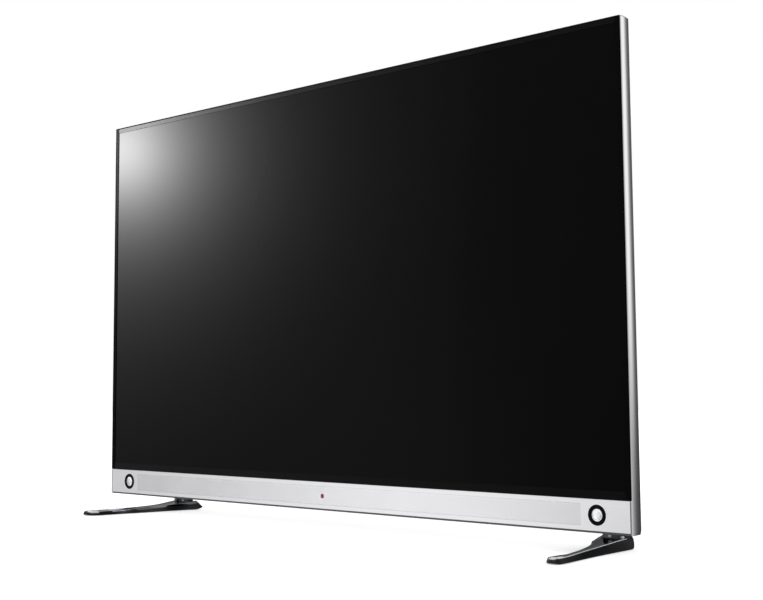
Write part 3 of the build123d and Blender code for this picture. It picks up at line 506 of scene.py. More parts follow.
# Cast zinc, polished and vapour coated: a mirror at the toe, darkened towards the heel by painted shade, a
# little wavy.
CHROME = HeelShadedChrome("polished_foot_top", "B9BCC0", 0.09, 1.0, grain_mm=20.0, grain_depth_mm=0.02, tone=0.05,
                     spread=0.03)
# Painted highlight on the same casting: a light line along the ridge, and pale spots on the toe's boss and
# the rivet heads.
FOOT_HIGHLIGHT = Finish("painted_highlight_foot_rim", "F0F2F4", 0.4, 0.2, grain_mm=8.0, grain_depth_mm=0.01, tone=0.05)
# Painted shade on the same casting's neck front, where it stands under the bar: dark, with a dim reflection.
NECK_SHADE = Finish("painted_shade_neck_front", "3C3E41", 0.22, 1.0, grain_mm=8.0, grain_depth_mm=0.01, tone=0.15)
# The casting's flanks in powder coat: black with a weak broad sheen.
FOOT_SIDE = Finish("black_foot_side", "17181A", 0.34, specular=0.15, grain_mm=0.6, grain_depth_mm=0.01,
                   tone=0.15)
# Moulded rubber: dull black.
RUBBER = Finish("pad_rubber", "121212", 0.78, specular=0.3, grain_mm=0.8, grain_depth_mm=0.04, tone=0.2)
# Pressed steel in black enamel: satin black with a smooth skin.
BASKET = Finish("enamelled_basket", "18181A", 0.42, grain_mm=0.7, grain_depth_mm=0.02)
# Drawn steel can, plated: mid grey metal.
MOTOR = Finish("plated_motor_can", "8E9093", 0.3, 1.0, grain_mm=1.2, grain_depth_mm=0.01)
# Glass-fibre board in green solder lacquer: green, with slightly raised tracks. They are about 0.3 mm wide on
# such boards, and are drawn in cells of 2.4 mm to show.
BOARD = CircuitBoard("green_circuit_board", "1C5A30", 0.4, grain_depth_mm=0.03, tone=0.25)
# Moulded clear acrylic, tinted: a small dark red dot.
LAMP = LampLens("red_lamp_lens", "7A1034", 0.2, grain_depth_mm=0.002)
# Seamless studio card: an even white.
FLOOR = Finish("pale_floor", "FBFBFB", 0.9, specular=0.1, grain_depth_mm=0.0, tone=0.004)

# The finish of each solid.
NODE_FINISHES: dict[str, Finish] = {
    "outer_frame": BAND, "front_bezel": BORDER, "middle_frame": BLACK, "lcd_panel": SCREEN,
    "optical_sheets": FILM, "diffuser_plate": FILM, "reflector_sheet": WHITE, "led_strips": WHITE,
    "backlight_chassis": STEEL, "rear_cover": BACK, "rear_cover_screws": SCREW, "vesa_inserts": STEEL,
    "main_board": BOARD, "power_board": BOARD, "led_driver_board": BOARD, "tcon_board": BOARD,
    "board_standoffs": STEEL, "board_screws": STEEL, "source_boards": BOARD, "wifi_module": BOARD,
    "hdmi_sockets": BLACK, "usb_sockets": BLACK, "lan_socket": BLACK, "antenna_socket": PLATED,
    "ac_inlet": BLACK, "power_key": BLACK, "key_holder": BLACK, "woofer_boxes": BLACK, "woofers": BASKET,
    "foot_left": FOOT_SIDE, "foot_right": FOOT_SIDE, "foot_pads": RUBBER, "stand_brackets": STEEL,
    "foot_screws": SCREW, "guide_rods": RODS, "rod_bridges": STEEL, "shaft_bearings": WHITE,
    "motor_bracket": STEEL, "lift_motor": MOTOR, "bar_front_plate": BAR_FACE, "speaker_grille": GRILLE,
    "bar_housing": BLACK, "bar_bottom_trim": TRIM, "speaker_baffle": BLACK, "bar_speaker_1": BASKET,
    "bar_speaker_2": BASKET, "bar_speaker_3": BASKET, "bar_speaker_4": BASKET, "tweeters": BASKET,
    "tweeter_rings": RING, "tweeter_caps": CAP, "sensor_board": BOARD, "status_lamp": LAMP,
    "slot_fascia": TRIM, "carriage_left": WHITE, "carriage_right": WHITE, "cross_shaft": SHAFT,
    "rack_pinions": ACETAL, "shaft_gear": ACETAL, "motor_pinion": ACETAL,
}


@cache
def material_of(finish: Finish) -> bpy.types.Material:
    """Give the finish's material, made once."""
    return finish.build()


def place_in_scene(thing: bpy.types.Object) -> bpy.types.Object:
    """Link an object to the scene and give it back."""
    bpy.context.scene.collection.objects.link(thing)
    return thing


def object_of(name: str, bm: Mesh, materials: list[bpy.types.Material]) -> bpy.types.Object:
    """Turn a bmesh into an object in the scene.

    Args:
        name: Name of the object and of its mesh.
        bm: The mesh, which is freed.
        materials: Its materials, in the order of its faces' material numbers.

    Returns:
        The new object.
    """
    mesh = bpy.data.meshes.new(name)
    bm.to_mesh(mesh)
    bm.free()
    for material in materials:
        mesh.materials.append(material)
    return place_in_scene(bpy.data.objects.new(name, mesh))


def show(
    name: str, bm: Mesh, body: str, finishes: list[Finish], replaced: tuple[str, ...] = ()
) -> None:
    """Turn a bmesh into a finished piece that rides on a body.

    Args:
        name: The piece's name.
        bm: Its mesh, in metres in the shared frame; it is freed.
        body: The body that it moves with.
        finishes: Its finishes, in the order of its faces' material numbers.
        replaced: The solids that it stands for.
    """
    bmesh.ops.recalc_face_normals(bm, faces=bm.faces)
    for face in bm.faces:
        face.smooth = True
    piece = object_of(name, bm, [material_of(finish) for finish in finishes])
    piece.data.set_sharp_from_angle(angle=SHARP_FROM)
    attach(piece, body)
    if replaced:
        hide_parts(*replaced)
    LOG.info("%s: %d faces on %s", name, len(piece.data.polygons), body)


def loft(sections: list[list[Vector]], finish_at: Callable[[int, int], int] | None = None) -> Mesh:
    """Skin closed sections from the first to the last.

    Args:
        sections: Rings of points, all with the same count.
        finish_at: Gives a face's material number from its place round the ring and its place along the loft.

    Returns:
        The closed skin: a grid wrapped over the sections, with its seam welded and its ends filled.
    """
    bm = bmesh.new()
    across, along = len(sections[0]), len(sections) - 1
    bmesh.ops.create_grid(bm, x_segments=across, y_segments=along, size=1.0)
    for face in bm.faces:
        centre = face.calc_center_median()
        column, row = int((centre.x + 1) / 2 * across), int((centre.y + 1) / 2 * along)
        face.material_index = finish_at(column, row) if finish_at else 0
    for vert in bm.verts:
        column = round((vert.co.x + 1) / 2 * across) % across
        vert.co = sections[round((vert.co.y + 1) / 2 * along)][column]
    bmesh.ops.remove_doubles(bm, verts=bm.verts, dist=WELD)
    bmesh.ops.holes_fill(bm, edges=[edge for edge in bm.edges if edge.is_boundary], sides=0)
    return bm


def lathe(profile: Outline, centre: Vector, steps: int) -> Mesh:
    """Spin a profile about an axis that runs from front to back.

    Args:
        profile: Points as radius and depth from the centre, in millimetres.
        centre: Where the axis meets the profile's zero depth.
        steps: Facets round the axis.

    Returns:
        The spun skin.
    """
    bm = bmesh.new()
    verts = [bm.verts.new(centre + Vector((radius, depth, 0.0)) * MM) for radius, depth in profile]
    edges = [bm.edges.new(pair) for pair in zip(verts, verts[1:])]
    bmesh.ops.spin(bm, geom=verts + edges, cent=centre, axis=(0.0, 1.0, 0.0), angle=2 * math.pi,
                   steps=steps, use_merge=True)
    bmesh.ops.remove_doubles(bm, verts=bm.verts, dist=WELD)
    return bm


def block(x0: float, x1: float, front: float, back: float, low: float, high: float, soft: float) -> Mesh:
    """Make a box with softened edges.

    Args:
        x0: Its left side.
        x1: Its right side.
        front: Depth of its front.
        back: Depth of its back.
        low: Height of its underside above the bar's lower edge.
        high: Height of its top.
        soft: Width of the softened edges.

    Returns:
        The box.
    """
    near, far = spot(x0, front, low), spot(x1, back, high)
    bm = bmesh.new()
    matrix = Matrix.Translation((near + far) / 2) @ Matrix.Diagonal((*(far - near), 1.0))
    bmesh.ops.create_cube(bm, size=1.0, matrix=matrix)
    bmesh.ops.bevel(bm, geom=bm.edges[:], offset=soft * MM, segments=2, profile=0.5, affect="EDGES",
                    material=-1)
    return bm


def merge(parts: list[Mesh]) -> Mesh:
    """Join several bmeshes into the first.

    Args:
        parts: The bmeshes; all but the first are freed.

    Returns:
        The first one, with the others in it.
    """
    whole = parts[0]
    for part in parts[1:]:
        mesh = bpy.data.meshes.new("part")
        part.to_mesh(mesh)
        part.free()
        whole.from_mesh(mesh)
        bpy.data.meshes.remove(mesh)
    return whole


def smooth_between(values: list[float], share: float) -> float:
    """Read a smooth curve through evenly counted values.

    Args:
        values: Values at share 0, 1, 2 and so on.
        share: Where to read, counted in steps.

    Returns:
        The value of the Catmull-Rom curve there.
    """
    last = len(values) - 1
    index = min(int(share), last - 1)
    t = share - index
    a, b = values[max(index - 1, 0)], values[index]
    c, d = values[index + 1], values[min(index + 2, last)]
    bend, twist = 2 * a - 5 * b + 4 * c - d, 3 * b - a - 3 * c + d
    return 0.5 * (2 * b + (c - a) * t + bend * t * t + twist * t ** 3)


def rounded_rectangle(half_width: float, half_height: float, radius: float, steps: int) -> Outline:
    """Give the outline of a rectangle with round corners.

    Args:
        half_width: Half of its width.
        half_height: Half of its height.
        radius: Radius of its corners.
        steps: Points on each corner, less one.

    Returns:
        Its points, anticlockwise from the right.
    """
    points = []
    for corner, (sx, sy) in enumerate(((1, 1), (-1, 1), (-1, -1), (1, -1))):
        for step in range(steps + 1):
            angle = math.radians(90.0 * (corner + step / steps))
            points.append((sx * (half_width - radius) + radius * math.cos(angle),
                           sy * (half_height - radius) + radius * math.sin(angle)))
    return points


class Detail:
    """Sub-assembly that makes its own pieces."""

    def build(self) -> None:
        """Make the pieces."""
        raise NotImplementedError


class BandStop(NamedTuple):
    """Stop on the band's outer edge.

    Attributes:
        place: Where it is, with x and the height above the bar's lower edge.
        out: Direction outwards.
        kept: Share of the band's depth that is left there.
        grooved: Whether the shadow groove round the screen is cut there.
    """

    place: Vector
    out: Vector
    kept: float
    grooved: bool


@dataclass
class SideBand(Detail):
    """Silver band down both sides and over the top: a thin lip, a shadow groove and a crowned outer face. The
    groove and the lip's front are painted dark as shade.
    """

    top: float = 749.0
    bottom: float = -3.0
    wall: float = 2.3
    depth: float = 25.0
    corner_r: float = 2.0
    heel_r: float = 7.0
    lip: float = 0.9
    lip_soft: float = 0.18
    # Strips of the section, from the groove's floor round the lip, that are painted dark as shade.
    shaded_strips: int = 4
    groove_from: float = 46.0
    groove_depth: float = 3.2
    groove_gap: float = 0.02
    flare: float = 0.9
    flare_depth: float = 3.0
    chamfer: float = 1.2
    chamfer_end: float = 0.08
    nose: Pairs = ((-0.4, 0.0), (-0.34, 0.12), (-0.22, 0.8), (-0.12, 2.5), (-0.04, 4.5), (0.0, 7.0))
    flat_depth: float = 9.0
    crown: float = 1.5
    crown_power: float = 1.7
    corner_steps: int = 10
    heel_steps: int = 8
    crown_steps: int = 12

    def profile(self, grooved: bool) -> Outline:
        """Give the section as outward offset and depth, from the inner front edge round.

        Args:
            grooved: Whether the shadow groove round the screen is cut there.

        Returns:
            The same count of points with the groove and without it.
        """
        inner = [(-self.wall - self.flare, self.flare_depth), (-self.wall - self.flare, self.chamfer),
                 (-self.lip, self.chamfer_end)]
        if grooved:
            inner = [(-self.wall, self.groove_depth), (-self.lip - self.groove_gap, self.groove_depth),
                     (-self.lip, self.lip_soft)]
        crowned = []
        for step in range(self.crown_steps + 1):
            share = step / self.crown_steps
            depth = self.flat_depth + (self.depth - self.flat_depth) * share
            crowned.append((-self.crown * share ** self.crown_power, depth))
        return inner + [(-self.lip + self.lip_soft, 0.0), *self.nose] + crowned + [(-self.wall, self.depth)]

    def path(self) -> list[BandStop]:
        """Give the stops from the right heel, up, over the top and down to the left heel.

        Returns:
            The stops; the left side mirrors the right one.
        """
        right, aside = [], Vector((1.0, 0.0, 0.0))
        for step in range(self.heel_steps + 1):
            angle = math.radians(90.0 * step / self.heel_steps)
            height = self.bottom + self.heel_r * (1 - math.cos(angle))
            kept = (self.depth - self.heel_r * (1 - math.sin(angle))) / self.depth
            right.append(BandStop(Vector((END_X, 0.0, height)), aside, kept, False))
        right.append(BandStop(Vector((END_X, 0.0, self.groove_from - self.groove_gap)), aside, 1.0, False))
        right.append(BandStop(Vector((END_X, 0.0, self.groove_from)), aside, 1.0, True))
        right.append(BandStop(Vector((END_X, 0.0, self.top - self.corner_r)), aside, 1.0, True))
        centre = Vector((END_X - self.corner_r, 0.0, self.top - self.corner_r))
        for step in range(1, self.corner_steps + 1):
            angle = math.radians(90.0 * step / self.corner_steps)
            out = Vector((math.cos(angle), 0.0, math.sin(angle)))
            right.append(BandStop(centre + out * self.corner_r, out, 1.0, True))
        left = [BandStop(Vector((-at.x, 0.0, at.z)), Vector((-out.x, 0.0, out.z)), kept, cut)
                for at, out, kept, cut in right]
        return right + left[::-1]

    def build(self) -> None:
        """Sweep the section along the path."""
        sections, path = [], self.path()
        for stop in path:
            ring = []
            for offset, depth in self.profile(stop.grooved):
                at = stop.place + stop.out * offset
                ring.append(spot(at.x, depth * stop.kept, at.z))
            sections.append(ring)

        # Painted shade: the groove and the lip take the dark finish.
        def shade_or_band(column: int, row: int) -> int:
            """Give the painted shade's number in the groove and on the lip, and the band's elsewhere."""
            return int(column < self.shaded_strips and path[row].grooved and path[row + 1].grooved)

        show("side_band", loft(sections, shade_or_band), "television", [BAND, GAP_SHADE],
             ("outer_frame",))


@dataclass
class RingAndCap(Detail):
    """Black ring and domed silver cap of each tweeter."""

    centre_x: float = TWEETER_X
    centre_height: float = TWEETER_HEIGHT
    outer_r: float = 15.0
    inner_r: float = 9.4
    proud: float = 0.6
    round_power: float = 0.6
    round_step: int = 15
    back: float = 4.0
    dome: Pairs = ((0.0, 0.05), (2.8, 0.09), (5.5, 0.22), (7.6, 0.38), (7.9, 0.55), (8.2, 0.40), (8.9, 0.46))
    cap_r: float = 9.3
    cap_rim: float = 0.7
    cap_thick: float = 1.2
    facets: int = 96

    def ring_profile(self) -> Outline:
        """Give the ring's section: a rounded front and straight walls.

        Returns:
            Its points as radius and depth, closed.
        """
        middle, half = (self.outer_r + self.inner_r) / 2, (self.outer_r - self.inner_r) / 2
        front = []
        for degrees in range(180, -1, -self.round_step):
            angle = math.radians(degrees)
            rise = self.proud * abs(math.sin(angle)) ** self.round_power
            front.append((middle + half * math.cos(angle), -rise))
        return [(self.inner_r, self.back)] + front + [(self.outer_r, self.back), (self.inner_r, self.back)]

    def cap_profile(self) -> Outline:
        """Give the cap's section: a shallow dome with a fine groove near its rim."""
        return [*self.dome, (self.cap_r, self.cap_rim), (self.cap_r, self.cap_thick), (0.0, self.cap_thick)]

    def build(self) -> None:
        """Make both rings and both caps."""
        rings, caps = [], []
        for side in (-1, 1):
            centre = spot(side * self.centre_x, 0.0, self.centre_height)
            rings.append(lathe(self.ring_profile(), centre, self.facets))
            caps.append(lathe(self.cap_profile(), centre, self.facets))
        show("tweeter_ring_pair", merge(rings), "speaker_bar", [RING], ("tweeter_rings",))
        show("tweeter_cap_pair", merge(caps), "speaker_bar", [CAP], ("tweeter_caps",))


@dataclass
class StatusLamp(Detail):
    """Red lens of the status lamp in the grille."""

    x: float = -6.0
    height: float = 21.4
    dome: Pairs = ((0.0, -0.1), (1.6, 0.0), (3.0, 0.22), (3.8, 0.5), (4.0, 0.9))
    radius: float = 4.0
    back: float = 2.7
    facets: int = 48

    def build(self) -> None:
        """Make the domed lens."""
        profile = [*self.dome, (self.radius, self.back), (0.0, self.back)]
        lens = lathe(profile, spot(self.x, 0.0, self.height), self.facets)
        show("lamp_lens", lens, "speaker_bar", [LAMP], ("status_lamp",))


class FootSkin(IntEnum):
    """Material number of a face of a foot."""

    POLISHED = 0
    BLACK = 1
    # Painted shade on the neck's front, under the bar.
    NECK_SHADE = 2
    # Painted highlight on the ridge, the toe's boss and the rivets.
    FOOT_HIGHLIGHT = 3


class Station(NamedTuple):
    """Section across a foot's blade.

    Attributes:
        depth: Its depth behind the front plane.
        low_out: Inset of the outer lower edge from the set's end.
        ridge_out: Inset of the outer ridge.
        ridge_in: Inset of the inner ridge.
        low_in: Inset of the inner lower edge.
        under: Level of the underside above the floor.
        rise_out: Level of the outer ridge.
        rise_in: Level of the inner ridge.
    """

    depth: float
    low_out: float
    ridge_out: float
    ridge_in: float
    low_in: float
    under: float
    rise_out: float
    rise_in: float


@dataclass
class BladeFoot(Detail):
    """Splayed foot: dished polished blade with a boss on its toe, black flanks, rivets, neck and flange."""

    side: int = 1
    # Blade. Where it is narrow or thin, its edge, lip and dish are its width or rise over the limits beside
    # them. The ridge is given as places across and up, counted in edges from its own line.
    steps: int = 10
    front_rows: int = 18
    edge: float = 1.0
    edge_limit: float = 12.0
    lip: float = 0.5
    lip_limit: float = 6.0
    flank_bulge: float = 0.35
    outer_shares: tuple[float, ...] = (0.35, 0.7)
    inner_shares: tuple[float, ...] = (0.3, 0.65)
    ridge: Pairs = ((-0.15, -0.7), (0.2, -0.12), (0.9, 0.0), (1.7, -0.25))
    dish: float = 1.0
    dish_limit: float = 3.0
    dish_steps: int = 24
    stations: tuple[Station, ...] = (
        Station(-107.0, 58.0, 59.5, 65.5, 67.0, 2.4, 5.6, 5.0),
        Station(-105.0, 55.6, 57.6, 69.6, 71.6, 1.4, 7.6, 6.2),
        Station(-101.0, 54.4, 56.5, 74.0, 76.4, 0.8, 8.9, 7.0),
        Station(-95.0, 54.0, 56.2, 79.0, 81.8, 0.8, 9.2, 7.3),
        Station(-86.0, 54.1, 56.8, 83.4, 86.8, 0.8, 9.1, 7.5),
        Station(-60.0, 56.4, 62.0, 84.6, 92.5, 0.8, 9.0, 7.3),
        Station(-40.0, 58.3, 66.2, 84.9, 97.5, 0.8, 9.1, 6.9),
        Station(0.0, 61.7, 73.7, 89.7, 110.0, 0.8, 9.6, 7.6),
        Station(45.0, 63.9, 78.5, 100.3, 120.0, 0.8, 11.2, 10.3),
        Station(68.0, 64.4, 78.3, 108.6, 127.0, 0.8, 13.0, 11.8),
        Station(90.0, 65.0, 76.5, 115.5, 134.0, 0.8, 15.2, 13.4),
        Station(108.0, 66.4, 74.0, 123.0, 143.0, 1.2, 16.6, 15.4),
        Station(118.0, 71.2, 72.9, 128.0, 147.0, 5.0, 17.0, 17.0),
    )
    # Boss on the toe, its top painted as a ring of highlight round a polished middle.
    boss: float = 1.5
    boss_floor: float = 5.0
    boss_slope: float = 0.3
    boss_inset: float = 67.5
    boss_depth: float = -90.0
    boss_half_width: float = 11.0
    boss_half_length: float = 11.0
    boss_spot: float = 0.06
    # Neck.
    root_outer: float = 72.2
    root_inner: float = 119.0
    neck_outer: float = 82.0
    neck_inner: float = 128.0
    neck_thick: float = 14.0
    neck_back: float = 117.0
    neck_front: float = 44.5
    neck_r: float = 3.0
    neck_corner_steps: int = 5
    neck_levels: tuple[float, ...] = (10.0, 16.0, 24.0, 32.0)
    bend_r: float = 45.0
    bend_step: float = 7.5
    # Columns round the neck whose faces are painted as shade.
    shaded_columns: tuple[int, int] = (12, 23)
    # Rivets, as inset, depth and level. Their heads are painted as highlights.
    rivet_r: float = 3.1
    rivet_squash: float = 0.8
    rivets: tuple[Place, ...] = ((81.0, 101.0, 17.5), (104.0, 102.0, 17.5))
    # Flange, with rings as depth and how far they shrink.
    flange_inset: float = 105.0
    flange_height: float = 50.0
    flange_half_width: float = 28.0
    flange_half_height: float = 34.0
    flange_r: float = 6.0
    flange_corner_steps: int = 6
    flange_rings: Pairs = ((38.0, 0.0), (42.9, 0.0), (43.6, 0.25), (44.0, 1.0))

    def at(self, inset: float, depth: float, level: float) -> Vector:
        """Give a point from its inset from the end, its depth and its level above the floor."""
        return Vector((self.side * (END_X - inset), FRONT_Y + depth, level)) * MM

    def boss_reach(self, inset: float, depth: float) -> float:
        """Tell how far a place is from the middle of the toe's boss.

        Args:
            inset: The place's inset from the end.
            depth: Its depth.

        Returns:
            0 in the middle, and 1 at the boss's rim.
        """
        across = (inset - self.boss_inset) / self.boss_half_width
        along = (depth - self.boss_depth) / self.boss_half_length
        return across ** 2 + along ** 2

    def section(self, cut: Station) -> list[Vector]:
        """Give one ring of the blade, from the outer low edge up, over the dish and down.

        Args:
            cut: The station.

        Returns:
            The ring's points.
        """
        width = cut.ridge_in - cut.ridge_out
        rise = cut.rise_out - cut.under
        edge, lip = min(self.edge, width / self.edge_limit), min(self.lip, rise / self.lip_limit)
        shoulder, drop = self.ridge[-1]
        inner = width - 2 * shoulder * edge
        ring = [(cut.low_out + lip, cut.under), (cut.low_out, cut.under + lip)]
        ring += [(cut.low_out + (cut.ridge_out - cut.low_out) * t - self.flank_bulge * math.sin(math.pi * t),
                  cut.under + rise * t) for t in self.outer_shares]
        ring += [(cut.ridge_out + across * edge, cut.rise_out + up * edge) for across, up in self.ridge]
        for step in range(1, self.dish_steps):
            t = step / self.dish_steps
            inset = cut.ridge_out + shoulder * edge + inner * t
            sag = min(self.dish, rise / self.dish_limit) * math.sin(math.pi * t)
            sag -= self.boss * max(0.0, 1 - self.boss_reach(inset, cut.depth) ** 2)
            ring.append((inset, cut.rise_out + (cut.rise_in - cut.rise_out) * t + drop * edge - sag))
        ring += [(cut.ridge_in - across * edge, cut.rise_in + up * edge) for across, up in self.ridge[::-1]]
        ring += [(cut.ridge_in + (cut.low_in - cut.ridge_in) * t + self.flank_bulge * math.sin(math.pi * t),
                  cut.rise_in - (cut.rise_in - cut.under) * t) for t in self.inner_shares]
        ring += [(cut.low_in, cut.under + lip), (cut.low_in - lip, cut.under)]
        return [self.at(inset, cut.depth, level) for inset, level in ring]

    def blade(self) -> Mesh:
        """Skin the blade through smooth curves between its stations.

        Returns:
            The blade, with its top polished, its outer rim and boss painted as highlights and its flanks
            black.
        """
        columns = [list(column) for column in zip(*self.stations)]
        sections = []
        for step in range((len(self.stations) - 1) * self.steps + 1):
            values = (smooth_between(column, step / self.steps) for column in columns)
            sections.append(self.section(Station(*values)))
        # A ring starts with the two points of its low edge and the points of its outer flank.
        first = 2 + len(self.outer_shares)
        rim = range(first, first + len(self.ridge) - 1)
        top = range(rim.stop, first + 2 * len(self.ridge) - 1 + self.dish_steps)

        def polished_or_black(column: int, row: int) -> int:
            """Give the finish of one face: polished top, outer rim painted as a highlight, black flanks and
            toe.

            Args:
                column: The face's place round the ring.
                row: Its place along the blade.

            Returns:
                The material number.
            """
            if row < self.front_rows or column not in (*rim, *top):
                return FootSkin.BLACK
            return FootSkin.FOOT_HIGHLIGHT if column in rim else FootSkin.POLISHED

        blade = loft(sections, polished_or_black)
        # Paint the boss's ring on the top as a highlight, leaving its middle polished.
        for face in blade.faces:
            centre = face.calc_center_median() / MM
            reach = self.boss_reach(END_X - abs(centre.x), centre.y - FRONT_Y)
            on_top = centre.z > self.boss_floor and abs(face.normal.z) > self.boss_slope
            if on_top and self.boss_spot < reach < 1:
                face.material_index = FootSkin.FOOT_HIGHLIGHT
        return blade

    def neck(self) -> Mesh:
        """Skin the neck that rises flush with the blade's heel and bends forward to the flange.

        Returns:
            The neck, with its front painted as shade under the bar.
        """
        centre_depth, centre_level = self.neck_back - self.bend_r - self.neck_thick / 2, BAR_EDGE_Z
        stops = [(centre_depth + self.bend_r, level, 0.0) for level in self.neck_levels]
        for step in range(int(90.0 / self.bend_step) + 1):
            angle = math.radians(self.bend_step * step)
            stops.append((centre_depth + self.bend_r * math.cos(angle),
                          centre_level + self.bend_r * math.sin(angle), angle))
        stops.append((self.neck_front, centre_level + self.bend_r, math.pi / 2))
        sections = []
        for depth, level, angle in stops:
            rise = max(0.0, level - centre_level) / (self.bend_r + self.neck_thick / 2)
            outer = self.root_outer + (self.neck_outer - self.root_outer) * rise
            inner = self.root_inner + (self.neck_inner - self.root_inner) * rise
            middle, half = (inner + outer) / 2, (inner - outer) / 2
            outline = rounded_rectangle(half, self.neck_thick / 2, self.neck_r, self.neck_corner_steps)
            sections.append([self.at(middle - across, depth + through * math.cos(angle),
                                     level + through * math.sin(angle)) for across, through in outline])
        shaded_front = range(*self.shaded_columns)
        return loft(sections, lambda column, row: FootSkin.NECK_SHADE if column in shaded_front else FootSkin.BLACK)

    def highlight_rivet_heads(self) -> Mesh:
        """Dome the heads of the two rivets that hold the blade to the neck.

        Returns:
            Both heads, painted as highlights.
        """
        bm = bmesh.new()
        squash = Matrix.Diagonal((1.0, 1.0, self.rivet_squash, 1.0))
        for inset, depth, level in self.rivets:
            place = Matrix.Translation(self.at(inset, depth, level)) @ squash
            bmesh.ops.create_uvsphere(bm, u_segments=32, v_segments=16, radius=self.rivet_r * MM,
                                      matrix=place)
        # Paint both heads as highlights.
        for face in bm.faces:
            face.material_index = FootSkin.FOOT_HIGHLIGHT
        return bm

    def flange(self) -> Mesh:
        """Skin the flange that is screwed to the back, with softened edges.

        Returns:
            The flange, black.
        """
        sections = []
        for depth, shrink in self.flange_rings:
            outline = rounded_rectangle(self.flange_half_width - shrink, self.flange_half_height - shrink,
                                        self.flange_r, self.flange_corner_steps)
            sections.append([self.at(self.flange_inset - across, depth, BAR_EDGE_Z + self.flange_height + up)
                             for across, up in outline])
        flange = loft(sections)
        for face in flange.faces:
            face.material_index = FootSkin.BLACK
        return flange

    def build(self) -> None:
        """Make the whole foot."""
        name = "right" if self.side > 0 else "left"
        whole = merge([self.blade(), self.neck(), self.highlight_rivet_heads(), self.flange()])
        show(f"blade_foot_{name}", whole, "television", [CHROME, FOOT_SIDE, NECK_SHADE, FOOT_HIGHLIGHT],
             (f"foot_{name}",))


class Recess(Enum):
    """Shape that a screw's driver fits."""

    CROSS = "cross"
    HEXAGON = "hexagon"


@dataclass
class Screws(Detail):
    """Screws of one kind: plain shaft, softened head and a recess for the driver.

    Attributes:
        node: The solids that they stand for.
        centres: Places across and up.
        start: Depth of the shaft's tip.
        face: Depth of the face that the heads sit on.
        shaft_r: Radius of the shaft.
        head_r: Radius of the head.
        head: Thickness of the head.
        recess: Shape of the recess.
        points: Points round the screw.
        head_rings: How far the head's rings shrink and drop, as shares of its thickness.
        recess_share: Depth of the recess, as a share of the head's thickness.
        hexagon: Half width of a hexagon, as a share of the head's radius.
        arm: Reach of a cross's arm, as such a share.
        arm_half: Half width of a cross's arm, as such a share.
    """

    node: str
    centres: Pairs
    start: float
    face: float
    shaft_r: float
    head_r: float
    head: float
    recess: Recess
    points: int = 48
    head_rings: Pairs = ((0.0, 1.0), (0.0, 0.48), (0.14, 0.16), (0.4, 0.0))
    recess_share: float = 0.6
    hexagon: float = 0.45
    arm: float = 0.64
    arm_half: float = 0.15

    def recess_r(self, angle: float) -> float:
        """Give the recess's reach in a direction.

        Args:
            angle: The direction, in radians.

        Returns:
            Its distance from the screw's axis.
        """
        if self.recess is Recess.HEXAGON:
            turn = angle % math.radians(60.0) - math.radians(30.0)
            return self.hexagon * self.head_r / math.cos(turn)
        arm, half = self.arm * self.head_r, self.arm_half * self.head_r
        along, aside = (max(abs(part), NEARLY_NONE) for part in (math.cos(angle), math.sin(angle)))
        return max(min(arm / along, half / aside), min(arm / aside, half / along))

    def screw(self, x: float, height: float) -> Mesh:
        """Skin one screw from the tip of its shaft to the floor of its recess.

        Args:
            x: Its place across.
            height: Its height above the bar's lower edge.

        Returns:
            The screw.
        """
        top = self.face + self.head
        angles = [2 * math.pi * step / self.points for step in range(self.points)]
        rings = [([self.shaft_r] * self.points, depth) for depth in (self.start, self.face)]
        for shrink, drop in self.head_rings:
            rings.append(([self.head_r - shrink * self.head] * self.points, top - drop * self.head))
        for drop in (0.0, self.recess_share):
            rings.append(([self.recess_r(angle) for angle in angles], top - drop * self.head))
        return loft([[spot(x + reach * math.cos(angle), depth, height + reach * math.sin(angle))
                      for reach, angle in zip(reaches, angles)] for reaches, depth in rings])

    def build(self) -> None:
        """Make every screw of the kind as one piece."""
        screws = [self.screw(x, height) for x, height in self.centres]
        show(f"{self.node}_driven", merge(screws), "television", [SCREW], (self.node,))


class Tongue(NamedTuple):
    """Moulded tongue in a socket.

    Attributes:
        half: Half of its width.
        back: Depth of its end.
        low: Height of its underside from the socket's own.
        high: Height of its top.
        soft: Width of its softened edges.
    """

    half: float
    back: float
    low: float
    high: float
    soft: float


@dataclass(frozen=True)
class SocketKind:
    """Inside of one kind of signal socket, counted from each socket's own height.

    Attributes:
        heights: Heights of the sockets of this kind.
        contact_rise: Height of the contacts.
        contact_width: Width of the whole row of contacts.
        contact_count: Contacts in the row.
        contact_back: Depth of the contacts' ends.
        tongue: Its tongue, where it has one.
    """

    heights: tuple[float, ...]
    contact_rise: float
    contact_width: float
    contact_count: int
    contact_back: float
    tongue: Tongue | None = None


